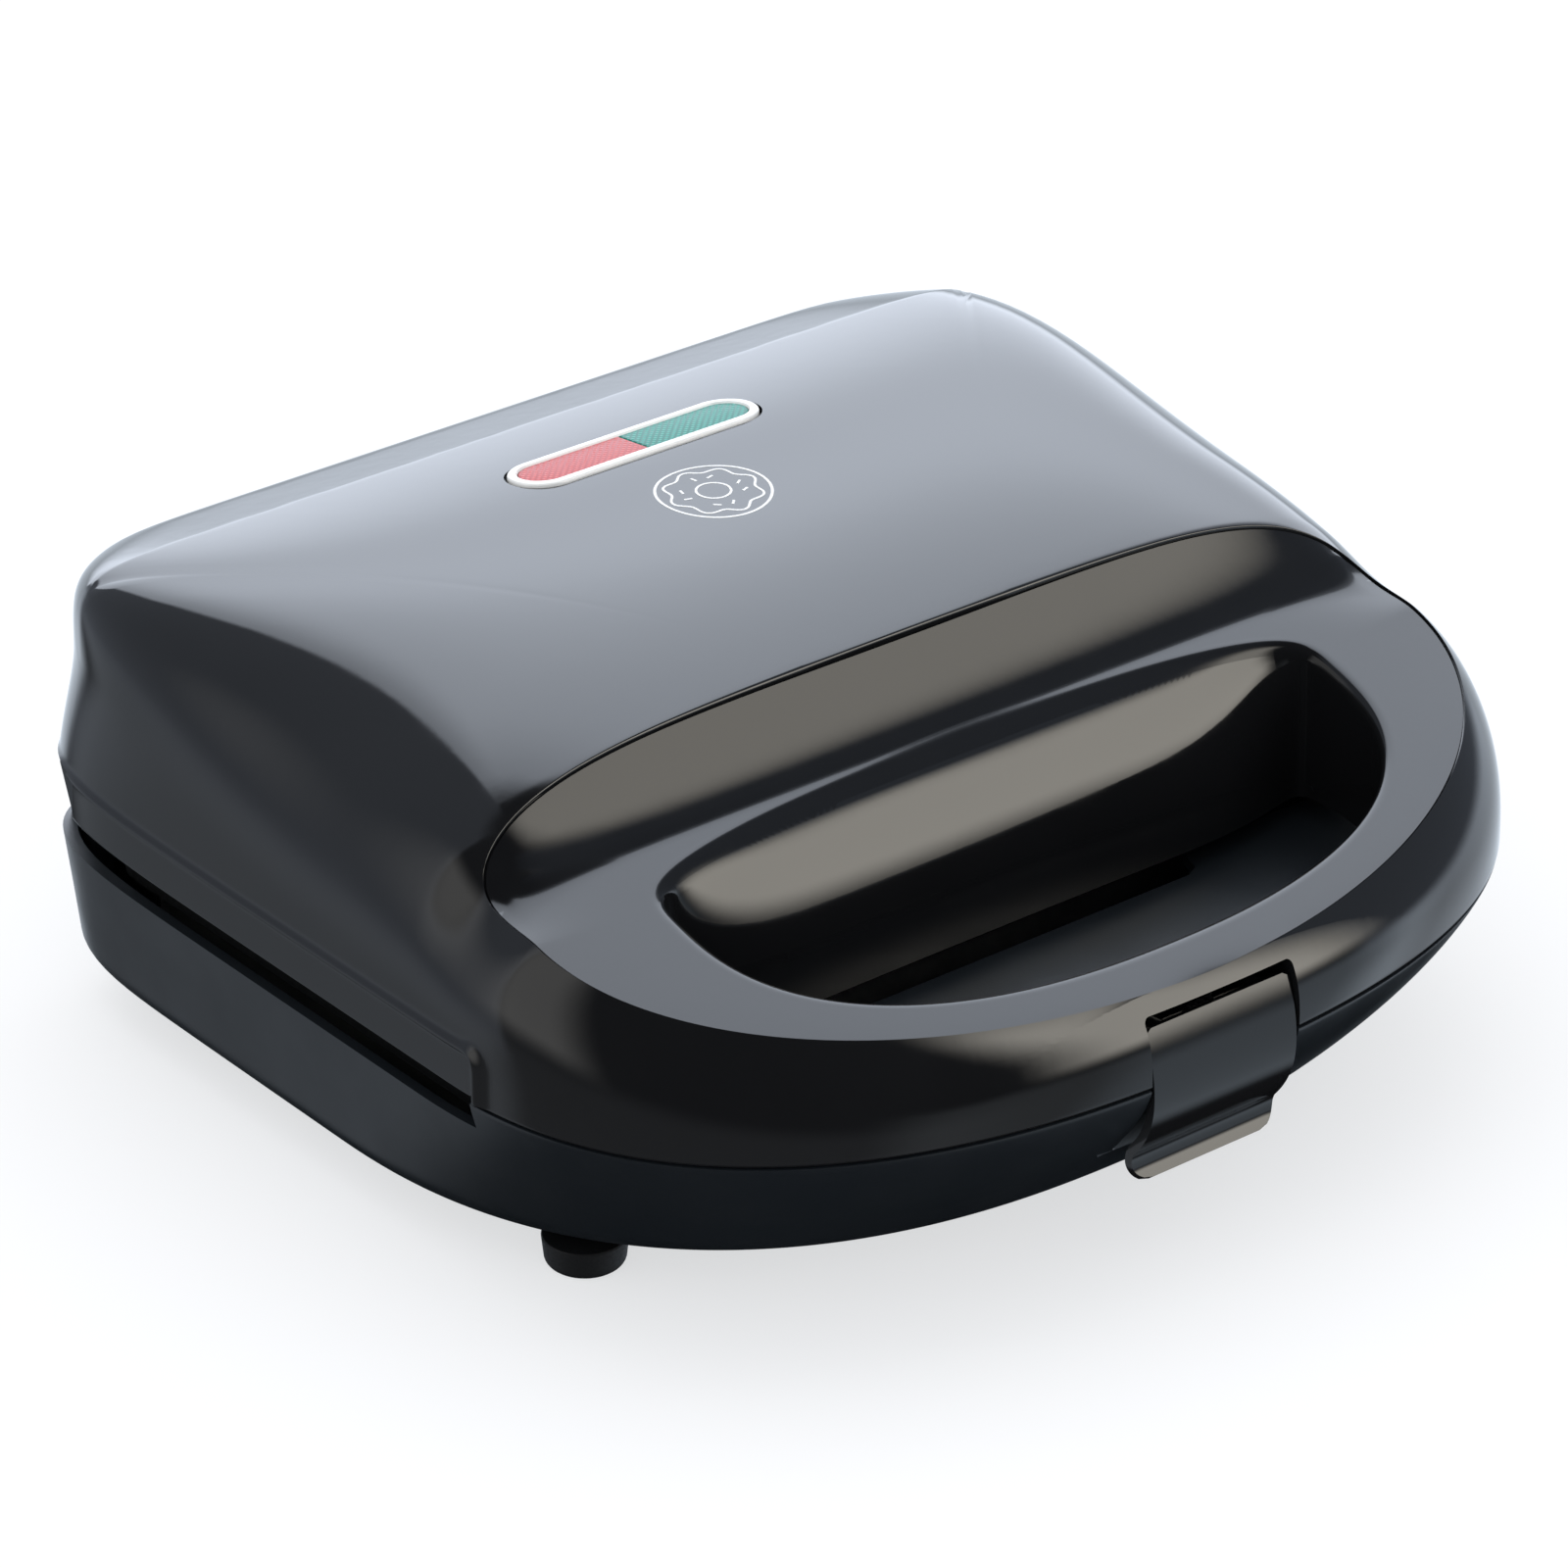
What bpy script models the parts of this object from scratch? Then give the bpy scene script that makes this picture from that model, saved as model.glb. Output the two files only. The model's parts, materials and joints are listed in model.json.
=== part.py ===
"""Table-top donut maker: a hinged gloss lid over a satin base, with a snap latch at the front.

Lengths are in metres. Shapes are drawn about the middle of the parting plane, where lid and base
meet: x is the width, y points to the rear and z is the height above that plane. The frame empties
then stand the whole object on the floor plane z = 0.
"""
import math

import bmesh
import bpy
import numpy as np
from mathutils import Matrix, Vector

# ---- driving dimensions -------------------------------------------------------------------------
PARTING_HEIGHT = 0.0430      # parting plane above the floor
FRAME_Y = 0.0135             # moves the middle of the object's box to y = 0
HALF_WIDTH = 0.1138          # half of the lid's and base's width at the parting plane
FRONT_START = -0.0441        # the sides run straight behind this y, the bow front lies before it
FRONT_REACH = 0.0820         # depth of the bow front
FRONT_POWER = 2.38
REAR_END = 0.0965            # y of the rear wall
REAR_POWER = 10.0            # rounds the rear corners to about 26 mm
REAR_POWER_TOP = 7.0         # and more at the top of the lid
WALL = 0.0022                # moulded wall
PARTING_GAP = 0.0005
FIT_GAP = 0.0003             # clearance between pieces that touch

TOP_HEIGHT = 0.0586          # lid's top above the parting plane at y = 0
TOP_SLOPE = 0.0974
TOP_CROWN = -3.217
TOP_SKEW = 9.97
STEP_LINE = -0.036           # y where the top panel ends at the handle recess
CREASE = 0.0728              # y of the crease between the top panel and the rear bevel
BEVEL_END = 0.0893
BEVEL_SLOPE = -0.29
REAR_ROUND = 0.0080
SHOULDER_POWER = 4.2
SHOULDER_TIGHTEN = 180.0     # the shoulders get tighter towards the rear
SHOULDER_MIDDLE = -0.0135
FRONT_SHOULDER_DROP = 1.4

PLATE_HALF_WIDTH = 0.1038    # the D-shaped handle plate in the lid
PLATE_MIDDLE = -0.0614
PLATE_FRONT = 0.0592
PLATE_FRONT_POWER = 1.985
PLATE_REAR = 0.0243
PLATE_REAR_POWER = 6.5
PLATE_HEIGHT = 0.0314
PLATE_TILT = 0.266
BAND_DEPTH = 0.0135
RIM_STEP = 0.0006

HOLE_HALF_WIDTH = 0.0768     # the oval finger hole in the handle plate
HOLE_MIDDLE = -0.0687
HOLE_FRONT = 0.0417
HOLE_FRONT_POWER = 2.36
HOLE_REAR = 0.0171
HOLE_REAR_POWER = 3.6
ROLL_DEPTH = 0.0185          # the convex rear wall of the hole is part of an ellipse
ROLL_HEIGHT = 0.0353
SKIRT_BOTTOM = 0.0006

SLOT_FRONT = -0.0537         # side slots between lid and base
SKIRT_REAR = 0.0760          # the lid's edge is higher behind this line, clear of the hinge
LID_EDGE = 0.0108
BASE_EDGE = -0.0058
REAR_EDGE = -0.0105

BASE_DEPTH = 0.0366
BASE_ROUND = 0.0090
BOW_SHIFT = 0.0450            # the bow front gets longer towards the bottom
SIDE_DRAFT = 0.0040
REAR_DRAFT = 0.0030
FRONT_RAKE = 0.0078
RAKE_DEPTH = 0.0140
RAKE_POWER = 1.38

HINGE_Y = 0.0865
HINGE_Z = 0.0035
BARREL_RADIUS = 0.0075
KNUCKLE_RADIUS = 0.0052
PIN_RADIUS = 0.0020
KNUCKLE_X = (0.0895, 0.0975)
EAR_X = (0.0985, 0.1025)
LUG_X = (0.0862, 0.0885)
BARREL_END = 0.0800
LEAD_X = (-0.0818, -0.0845)  # the leads of base and lid meet side by side on the hinge axis
LEAD_RADIUS = 0.0011

LATCH_WIDTH = 0.0338
LATCH_PIVOT_Y = -0.1185
LATCH_PIVOT_Z = 0.0070
LATCH_PIN_RADIUS = 0.0010
LATCH_WALL = 0.0018
RECESS_TOP = 0.0132
CATCH_Y = -0.1150            # front face of the wall that closes the latch notch
LATCH_HALF_SLOT = LATCH_WIDTH / 2 + 0.0006

GRID_FRONT = -0.0515         # outline of the baking plates
GRID_REAR = 0.0745
GRID_HALF_WIDTH = 0.1045
GRID_CORNER = 0.0100
RING_MIDDLE_RADIUS = 0.0134  # a donut ring: radius of its middle circle, half width and depth
RING_SECTION = 0.0070
RING_DEPTH = 0.0090
RING_PITCH_X = 0.0560
RING_PITCH_Y = 0.0385
RING_SEGMENTS = 14
PLATE_FACE = 0.0006          # baking face, above or below the parting plane
PLATE_SKIN = 0.0018
PLATE_RIM = 0.0098
BOSS_TOP = 0.0186
SCREW_X = 0.0930
SCREW_Y = (-0.0400, 0.0630)
SCREW_RADIUS = 0.0014
SCREW_END = 0.0270
HEAD_RADIUS = 0.0026
HEAD_DEPTH = 0.0013
POST_RADIUS = 0.0036
POST_FACE = 0.0202           # where the shells' posts meet the reflectors
SHEET = 0.0008
ELEMENT_RADIUS = 0.0032
ELEMENT_Z = 0.0148
LINER_REAR = -0.0530
LINER_LOW = 0.0010
LINER_HIGH = 0.0026
SHELF_REAR = -0.0580
SHELF_STEP = -0.0660
GLAND_X = 0.0300
GLAND_Z = -0.0220
GLAND_NECK = 0.0046
GLAND_WALL = 0.0946

INDICATOR_Y = 0.0448
INDICATOR_LENGTH = 0.0570
INDICATOR_WIDTH = 0.0142
INDICATOR_BORDER = 0.0020

FOOT_RADIUS = 0.0080
FEET = {"foot_front_left": (-0.0880, -0.0530), "foot_front_right": (0.0880, -0.0530),
        "foot_rear_left": (-0.0860, 0.0680), "foot_rear_right": (0.0860, 0.0680)}

RAYS = 64                    # sections round the shells
BEND_WEIGHT = 0.7            # how strongly the sections gather at corners


# ---- scene --------------------------------------------------------------------------------------
for old in list(bpy.data.objects):
    bpy.data.objects.remove(old, do_unlink=True)

parts = bpy.data.collections.new("donut_maker")
cutters = bpy.data.collections.new("cutters")
bpy.context.scene.collection.children.link(parts)
bpy.context.scene.collection.children.link(cutters)

FRAME = Vector((0.0, FRAME_Y, PARTING_HEIGHT))


def make_empty(name, place, parent=None):
    """Adds an empty at a place given in the parting-plane frame."""
    empty = bpy.data.objects.new(name, None)
    parts.objects.link(empty)
    empty.location = FRAME + Vector(place)
    if parent is not None:
        empty.location = Vector(place) - parent["place"]
        empty.parent = parent["empty"]
    return {"empty": empty, "place": Vector(place)}


base_frame = make_empty("base_frame", (0.0, 0.0, 0.0))
lid_frame = make_empty("lid_frame", (0.0, HINGE_Y, HINGE_Z), base_frame)
latch_frame = make_empty("latch_frame", (0.0, LATCH_PIVOT_Y, LATCH_PIVOT_Z), lid_frame)


def material(name, color, roughness, metallic=0.0):
    """A Principled material, made once for each name."""
    found = bpy.data.materials.get(name)
    if found is not None:
        return found
    made = bpy.data.materials.new(name)
    made.use_nodes = True
    shader = made.node_tree.nodes["Principled BSDF"]
    shader.inputs["Base Color"].default_value = (*color, 1.0)
    shader.inputs["Roughness"].default_value = roughness
    shader.inputs["Metallic"].default_value = metallic
    made.diffuse_color = (*color, 1.0)
    return made


LOOKS = {
    "gloss_black": ((0.010, 0.011, 0.013), 0.08, 0.0),
    "satin_black": ((0.014, 0.015, 0.017), 0.38, 0.0),
    "inner_black": ((0.020, 0.020, 0.021), 0.55, 0.0),
    "non_stick": ((0.030, 0.031, 0.033), 0.45, 0.3),
    "steel": ((0.55, 0.55, 0.54), 0.32, 1.0),
    "reflector": ((0.72, 0.73, 0.74), 0.30, 1.0),
    "white_plastic": ((0.86, 0.86, 0.85), 0.25, 0.0),
    "red_lens": ((0.62, 0.10, 0.09), 0.20, 0.0),
    "green_lens": ((0.05, 0.36, 0.27), 0.20, 0.0),
    "lamp_glass": ((0.80, 0.60, 0.50), 0.10, 0.0),
    "ceramic": ((0.82, 0.80, 0.74), 0.50, 0.0),
    "sleeving": ((0.75, 0.73, 0.68), 0.70, 0.0),
    "rubber": ((0.018, 0.018, 0.019), 0.80, 0.0),
}


def add_object(name, mesh, look, frame):
    """Makes a sub-part from a mesh drawn in the parting-plane frame."""
    obj = bpy.data.objects.new(name, mesh)
    parts.objects.link(obj)
    obj.parent = frame["empty"]
    obj.location = -frame["place"]
    mesh.materials.clear()
    mesh.materials.append(material(look, *LOOKS[look]))
    return obj


def add_cutter(name, mesh):
    """Makes a guide body that Booleans use and that is not a sub-part."""
    obj = bpy.data.objects.new(name, mesh)
    cutters.objects.link(obj)
    obj.location = FRAME
    obj.hide_render = True
    obj.display_type = "WIRE"
    return obj


def boolean(target, operation, tool):
    """Adds an exact Boolean modifier to a sub-part."""
    step = target.modifiers.new(operation.lower() + "_" + tool.name, "BOOLEAN")
    step.operation = operation
    step.solver = "EXACT"
    step.object = tool


def smooth(obj, angle=35.0):
    """Shades a round piece smooth and keeps its real edges."""
    obj.data.shade_smooth()
    obj.data.set_sharp_from_angle(angle=math.radians(angle))


# ---- mesh makers --------------------------------------------------------------------------------
def mesh_from(bm, name, triangles=False):
    """Makes a mesh with its faces outwards. Curved shells are made of triangles for clean cuts."""
    mesh = bpy.data.meshes.new(name)
    bmesh.ops.recalc_face_normals(bm, faces=bm.faces)
    if triangles:
        bmesh.ops.triangulate(bm, faces=bm.faces)
    bm.to_mesh(mesh)
    bm.free()
    return mesh


def box_mesh(name, low, high, round_edges=0.0, segments=2):
    """A box between two corners, with rounded edges when asked."""
    low = Vector(low)
    high = Vector(high)
    bm = bmesh.new()
    bmesh.ops.create_cube(bm, size=1.0)
    for vert in bm.verts:
        vert.co = (low + high) / 2 + Vector(c * s for c, s in zip(vert.co, high - low))
    if round_edges > 0.0:
        bmesh.ops.bevel(bm, geom=bm.edges, offset=round_edges, segments=segments, profile=0.5,
                        affect="EDGES")
    return mesh_from(bm, name)


def rod_mesh(name, start, end, radius, segments=16):
    """A round bar between two points."""
    start = Vector(start)
    end = Vector(end)
    bm = bmesh.new()
    bmesh.ops.create_cone(bm, cap_ends=True, segments=segments, radius1=radius,
                          radius2=radius, depth=(end - start).length)
    turn = (end - start).to_track_quat("Z", "Y").to_matrix().to_4x4()
    bmesh.ops.transform(bm, matrix=turn, verts=bm.verts)
    bmesh.ops.translate(bm, vec=(start + end) / 2, verts=bm.verts)
    return mesh_from(bm, name)


def turned_mesh(name, profile, center, segments=16):
    """A body turned about an upright axis from (radius, z) points that start and end on the axis."""
    bm = bmesh.new()
    rings = []
    for radius, z in profile:
        if radius < 1e-9:
            rings.append([bm.verts.new((center[0], center[1], z))])
            continue
        ring = []
        for k in range(segments):
            angle = 2 * math.pi * k / segments
            ring.append(bm.verts.new((center[0] + radius * math.cos(angle),
                                      center[1] + radius * math.sin(angle), z)))
        rings.append(ring)
    join_rings(bm, rings)
    return mesh_from(bm, name)


def join_rings(bm, rings, closed=False):
    """Joins rings of vertices with faces. A ring of one vertex is a pole."""
    pairs = list(zip(rings, rings[1:]))
    if closed:
        pairs.append((rings[-1], rings[0]))
    for lower, upper in pairs:
        count = max(len(lower), len(upper))
        for k in range(count):
            corners = []
            for vert in (lower[k % len(lower)], lower[(k + 1) % count % len(lower)],
                         upper[(k + 1) % count % len(upper)], upper[k % len(upper)]):
                if vert not in corners:
                    corners.append(vert)
            bm.faces.new(corners)


def slab_mesh(name, outline, low, high):
    """A flat plate: an outline of (x, y) points between two heights."""
    bm = bmesh.new()
    rings = [[bm.verts.new((x, y, z)) for x, y in outline] for z in (low, high)]
    join_rings(bm, rings)
    bm.faces.new(rings[0])
    bm.faces.new(rings[1])
    return mesh_from(bm, name)


def bar_mesh(name, outline, half_width, middle=0.0):
    """A bar along x whose section is an outline of (y, z) points."""
    bm = bmesh.new()
    rings = [[bm.verts.new((middle + x, y, z)) for y, z in outline] for x in (-half_width, half_width)]
    join_rings(bm, rings)
    bm.faces.new(rings[0])
    bm.faces.new(rings[1])
    return mesh_from(bm, name)


def tube_mesh(name, points, radius, resolution=2):
    """A wire or tube along points: a bevelled poly curve made into a welded mesh."""
    curve = bpy.data.curves.new(name, "CURVE")
    curve.dimensions = "3D"
    curve.bevel_depth = radius
    curve.bevel_resolution = resolution
    curve.use_fill_caps = True
    spline = curve.splines.new("POLY")
    spline.points.add(len(points) - 1)
    for target, point in zip(spline.points, points):
        target.co = (*point, 1.0)
    holder = bpy.data.objects.new(name + "_path", curve)
    cutters.objects.link(holder)
    bpy.context.view_layer.update()
    evaluated = holder.evaluated_get(bpy.context.evaluated_depsgraph_get())
    raw = bpy.data.meshes.new_from_object(evaluated)
    bpy.data.objects.remove(holder, do_unlink=True)
    bm = bmesh.new()
    bm.from_mesh(raw)
    bmesh.ops.remove_doubles(bm, verts=bm.verts, dist=1e-6)
    bpy.data.meshes.remove(raw)
    return mesh_from(bm, name)


def arc_points(center, radius, start, end, count):
    """Points on a circle, with angles in degrees."""
    found = []
    for k in range(count):
        angle = math.radians(start + (end - start) * k / (count - 1))
        found.append((center[0] + radius * math.cos(angle), center[1] + radius * math.sin(angle)))
    return found


def rounded_rectangle(low, high, radius, count=4):
    """Outline of a rectangle with round corners, anticlockwise."""
    found = []
    corners = [((high[0] - radius, high[1] - radius), 0), ((low[0] + radius, high[1] - radius), 90),
               ((low[0] + radius, low[1] + radius), 180), ((high[0] - radius, low[1] + radius), 270)]
    for center, start in corners:
        found += arc_points(center, radius, start, start + 90, count)
    return found


def stadium(center, length, width, count=7):
    """Outline of a slot with half-round ends, anticlockwise."""
    radius = width / 2
    reach = length / 2 - radius
    right = arc_points((center[0] + reach, center[1]), radius, -90, 90, count)
    left = arc_points((center[0] - reach, center[1]), radius, 90, 270, count)
    return right + left


# ---- shell surfaces -----------------------------------------------------------------------------
def smooth_step(t):
    t = np.clip(t, 0.0, 1.0)
    return t * t * (3.0 - 2.0 * t)


def two_part_oval(half_width, middle, front, front_power, rear, rear_power, count=1440):
    """Closed plan curve: a front and a rear half-superellipse that share their widest line."""
    angle = np.linspace(-math.pi / 2, 1.5 * math.pi, count, endpoint=False)
    c, s = np.cos(angle), np.sin(angle)
    power = np.where(s < 0, front_power, rear_power)
    x = half_width * np.sign(c) * np.abs(c) ** (2.0 / power)
    y = middle + np.where(s < 0, front, rear) * np.sign(s) * np.abs(s) ** (2.0 / power)
    x, y = np.append(x, x[0]), np.append(y, y[0])
    run = np.concatenate([[0.0], np.cumsum(np.hypot(np.diff(x), np.diff(y)))])
    even = np.linspace(0.0, run[-1], count, endpoint=False)
    return np.interp(even, run, x), np.interp(even, run, y)


def outline_curve(side=0.0, front=0.0, rear=0.0, shift=0.0):
    """The plan outline of lid and base, drawn in by the given amounts.

    A shift moves the widest line to the rear, which makes the bow front longer.
    """
    widest = FRONT_START + shift
    return two_part_oval(HALF_WIDTH - side, widest, FRONT_REACH - front + shift, FRONT_POWER,
                         REAR_END - rear - widest, REAR_POWER)


def plate_curve(grow=0.0):
    return two_part_oval(PLATE_HALF_WIDTH + grow, PLATE_MIDDLE, PLATE_FRONT + grow,
                         PLATE_FRONT_POWER, PLATE_REAR + grow, PLATE_REAR_POWER)


def hole_curve(grow=0.0):
    return two_part_oval(HOLE_HALF_WIDTH + grow, HOLE_MIDDLE, HOLE_FRONT + grow, HOLE_FRONT_POWER,
                         HOLE_REAR + grow, HOLE_REAR_POWER)


def reach_at(curve, angles):
    """Distance from the hole's middle to a plan curve, for rays at the given angles."""
    x, y = curve
    angle = np.unwrap(np.arctan2(y - HOLE_MIDDLE, x))
    far = np.hypot(x, y - HOLE_MIDDLE)
    angle = np.concatenate([angle, angle[:1] + 2 * math.pi])
    far = np.concatenate([far, far[:1]])
    return np.interp((angles - angle[0]) % (2 * math.pi) + angle[0], angle, far)


def ray_angles(count):
    """Angles of the section rays, spread over the outline, the plate edge and the hole.

    They follow the length of each curve and also its bends, so the corners get more of them.
    """
    dense = np.linspace(-math.pi / 2, 1.5 * math.pi, 2881)
    spread = np.zeros(len(dense))
    for curve in (outline_curve(), plate_curve(), hole_curve()):
        far = reach_at(curve, dense)
        x, y = far * np.cos(dense), far * np.sin(dense)
        run = np.concatenate([[0.0], np.cumsum(np.hypot(np.diff(x), np.diff(y)))])
        heading = np.unwrap(np.arctan2(np.diff(y), np.diff(x)))
        bend = np.concatenate([[0.0, 0.0], np.cumsum(np.abs(np.diff(heading)))])
        spread += run / run[-1] + BEND_WEIGHT * bend / bend[-1]
    return np.interp(np.arange(count) * spread[-1] / count, spread, dense)


def plate_height(y):
    return PLATE_HEIGHT + PLATE_TILT * (y - PLATE_MIDDLE)


def plate_rear_edge(x):
    ratio = np.clip(np.abs(x) / PLATE_HALF_WIDTH, 0.0, 1.0)
    return PLATE_MIDDLE + PLATE_REAR * (1.0 - ratio ** PLATE_REAR_POWER) ** (1.0 / PLATE_REAR_POWER)


def shoulder_power(y):
    """Squareness of the lid's cross-section: soft at the front, tight at the rear crease."""
    rear = SHOULDER_POWER * np.exp(SHOULDER_TIGHTEN * np.clip(y - SHOULDER_MIDDLE, 0.0,
                                                              CREASE - SHOULDER_MIDDLE) ** 2)
    return rear - FRONT_SHOULDER_DROP * smooth_step((-0.050 - y) / 0.070)


def top_panel(y):
    return TOP_HEIGHT + TOP_SLOPE * y + TOP_CROWN * y ** 2 + TOP_SKEW * y ** 3


def handle_crown(y):
    """Height that lets the handle's outer wall end just above the edge of the handle plate."""
    y = np.maximum(y, PLATE_MIDDLE - PLATE_FRONT * 0.995)
    ratio = np.clip((PLATE_MIDDLE - y) / PLATE_FRONT, 0.0, 1.0)
    x = PLATE_HALF_WIDTH * (1.0 - ratio ** PLATE_FRONT_POWER) ** (1.0 / PLATE_FRONT_POWER)
    spread = (x / HALF_WIDTH) ** FRONT_POWER + ((FRONT_START - y) / FRONT_REACH) ** FRONT_POWER
    power = shoulder_power(y)
    edge = 1.0 - spread ** (power / FRONT_POWER)
    return (plate_height(y) + RIM_STEP) / edge ** (1.0 / power)


def crown(y):
    """Height of the lid's middle section line, from the front to the rear wall."""
    y = np.asarray(y, float)
    blend = smooth_step((STEP_LINE - y) / (STEP_LINE - PLATE_MIDDLE))
    top = top_panel(np.maximum(y, PLATE_MIDDLE))
    handle = handle_crown(np.minimum(y, PLATE_MIDDLE))
    height = np.where(y > STEP_LINE, top, (1 - blend) * top + blend * handle)
    bevel = top_panel(CREASE) + BEVEL_SLOPE * (y - CREASE)
    height = np.where(y > CREASE, bevel, height)
    lean = math.atan(-BEVEL_SLOPE)
    round_y = BEVEL_END - REAR_ROUND * math.sin(lean)
    round_z = top_panel(CREASE) + BEVEL_SLOPE * (BEVEL_END - CREASE) - REAR_ROUND * math.cos(lean)
    wall_y = round_y + 0.98 * REAR_ROUND
    wall_z = round_z + REAR_ROUND * math.sqrt(1 - 0.98 ** 2)
    corner = round_z + np.sqrt(np.maximum(REAR_ROUND ** 2 - (y - round_y) ** 2, 0.0))
    height = np.where(y > BEVEL_END, corner, height)
    wall = wall_z * (REAR_END - y) / (REAR_END - wall_y)
    return np.where(y > wall_y, wall, height)


def inside_lid(x, y, z, inset):
    """True inside the lid's outer form, or inside that form drawn in by an inset."""
    half = HALF_WIDTH - inset
    ahead = np.clip(FRONT_START - y, 0.0, None) / (FRONT_REACH - inset)
    behind = np.clip(y - FRONT_START, 0.0, None) / (REAR_END - inset - FRONT_START)
    front = ((np.abs(x) / half) ** FRONT_POWER + ahead ** FRONT_POWER) ** (1.0 / FRONT_POWER)
    rear_power = REAR_POWER + (REAR_POWER_TOP - REAR_POWER) * smooth_step(z / 0.035)
    narrow = np.clip(1.0 - behind ** rear_power, 1e-9, 1.0) ** (1.0 / rear_power)
    spread = np.where(y < FRONT_START, front, np.abs(x) / (half * narrow))
    shifted = y + inset * smooth_step((y - 0.040) / 0.030)
    height = np.maximum(crown(shifted) - inset, 1e-6)
    power = shoulder_power(y)
    filled = np.minimum(spread, 3.0) ** power + np.minimum(np.abs(z) / height, 3.0) ** power
    return (filled < 1.0) & (shifted < REAR_END) & (behind < 1.0)


def lid_profile(angles, start, inset, steps, dense=160):
    """Points down the lid's form along each ray, from above `start` to the parting plane."""
    c = np.cos(angles)[:, None]
    s = np.sin(angles)[:, None]
    lift = np.linspace(math.pi / 2, 0.0, dense)[None, :]
    low = np.zeros((len(angles), dense))
    high = np.full((len(angles), dense), 0.30)
    for _ in range(34):
        middle = (low + high) / 2
        far = start[:, None] + middle * np.cos(lift)
        hit = inside_lid(far * c, HOLE_MIDDLE + far * s, middle * np.sin(lift), inset)
        low = np.where(hit, middle, low)
        high = np.where(hit, high, middle)
    far = start[:, None] + low * np.cos(lift)
    z = low * np.sin(lift)
    rows = []
    for k in range(len(angles)):
        run = np.concatenate([[0.0], np.cumsum(np.hypot(np.diff(far[k]), np.diff(z[k])))])
        turn = np.unwrap(np.arctan2(np.diff(z[k]), np.diff(far[k])))
        bend = np.concatenate([[0.0, 0.0], np.cumsum(np.abs(np.diff(turn)))])
        measure = run / run[-1] + 0.9 * bend / max(bend[-1], 1e-9)
        where = np.linspace(0.0, measure[-1], steps)
        rows.append((np.interp(where, measure, far[k]), np.interp(where, measure, z[k])))
    return np.array([r[0] for r in rows]), np.array([r[1] for r in rows])


def recess_height(x, y, inset=0.0):
    """Height of the handle recess: the tilted plate, and the hollow band up to the step line."""
    edge = plate_rear_edge(x)
    lid_top = lid_height(x, edge)
    rise = np.maximum(lid_top - RIM_STEP - plate_height(edge), 0.0)
    away = np.clip((edge - y) / BAND_DEPTH, 0.0, 1.0)
    return plate_height(y) + rise * (1.0 - away) ** 2 - inset


def lid_height(x, y):
    """Height of the lid's outer form over plan points behind the bow front."""
    spread = np.clip(np.abs(x) / HALF_WIDTH, 0.0, 1.0)
    power = shoulder_power(y)
    return crown(y) * (1.0 - spread ** power) ** (1.0 / power)


def roll_shift(z, x):
    """How far the hole's rear wall comes forward at a height, fading out at the hole's ends."""
    top = plate_height(HOLE_MIDDLE + HOLE_REAR)
    rim = ROLL_DEPTH * math.sqrt(max(1.0 - (top / ROLL_HEIGHT) ** 2, 0.0))
    deep = ROLL_DEPTH * np.sqrt(np.clip(1.0 - (z / ROLL_HEIGHT) ** 2, 0.0, 1.0))
    fade = 1.0 - np.clip(np.abs(x) / HOLE_HALF_WIDTH, 0.0, 1.0) ** 6
    return np.maximum(deep - rim, 0.0) * fade


def hole_wall(angles, grow, bottom, steps):
    """Points up the hole's wall along each ray, from the skirt's bottom to the rim."""
    far = reach_at(hole_curve(grow), angles)
    x = far * np.cos(angles)
    y = HOLE_MIDDLE + far * np.sin(angles)
    top = recess_height(x, y, grow)
    rear = smooth_step((y - HOLE_MIDDLE) / (0.5 * HOLE_REAR))
    found = []
    for k in range(steps):
        z = bottom + (top - bottom) * k / steps
        found.append(np.stack([x, y - rear * roll_shift(z, x), z], 1))
    found.append(np.stack([x, y, top], 1))
    return found


def plan_points(angles, far, z):
    return np.stack([far * np.cos(angles), HOLE_MIDDLE + far * np.sin(angles), z], 1)


def lid_skin(angles, inset, wall_steps, recess_steps, top_steps):
    """Rings of points over the lid: up the hole, across the recess, over the top, down the wall."""
    bottom = SKIRT_BOTTOM
    rings = hole_wall(angles, inset, bottom, wall_steps)
    rim = reach_at(hole_curve(inset), angles)
    edge = reach_at(plate_curve(inset), angles)
    for k in range(1, recess_steps + 1):
        far = rim + (edge - rim) * k / recess_steps
        x, y = far * np.cos(angles), HOLE_MIDDLE + far * np.sin(angles)
        rings.append(plan_points(angles, far, recess_height(x, y, inset)))
    start = edge + RIM_STEP * 0.5
    far, z = lid_profile(angles, start, inset, top_steps)
    z = np.maximum(z, PARTING_GAP / 2)
    if inset > 0.0:
        rings[-1][:, 2] = np.minimum(rings[-1][:, 2], z[:, 0] - 0.0003)
    for k in range(top_steps):
        rings.append(plan_points(angles, far[:, k], z[:, k]))
    return rings


def lid_shell_mesh():
    """The lid: an outer and an inner skin, joined at the lower edge and at the hole's skirt."""
    angles = ray_angles(RAYS)
    outer = lid_skin(angles, 0.0, 4, 3, 11)
    inner = lid_skin(angles, WALL, 2, 2, 7)
    bm = bmesh.new()
    rings = [[bm.verts.new(point) for point in ring] for ring in outer + inner[::-1]]
    join_rings(bm, rings, closed=True)
    return mesh_from(bm, "lid_shell", True)


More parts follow.
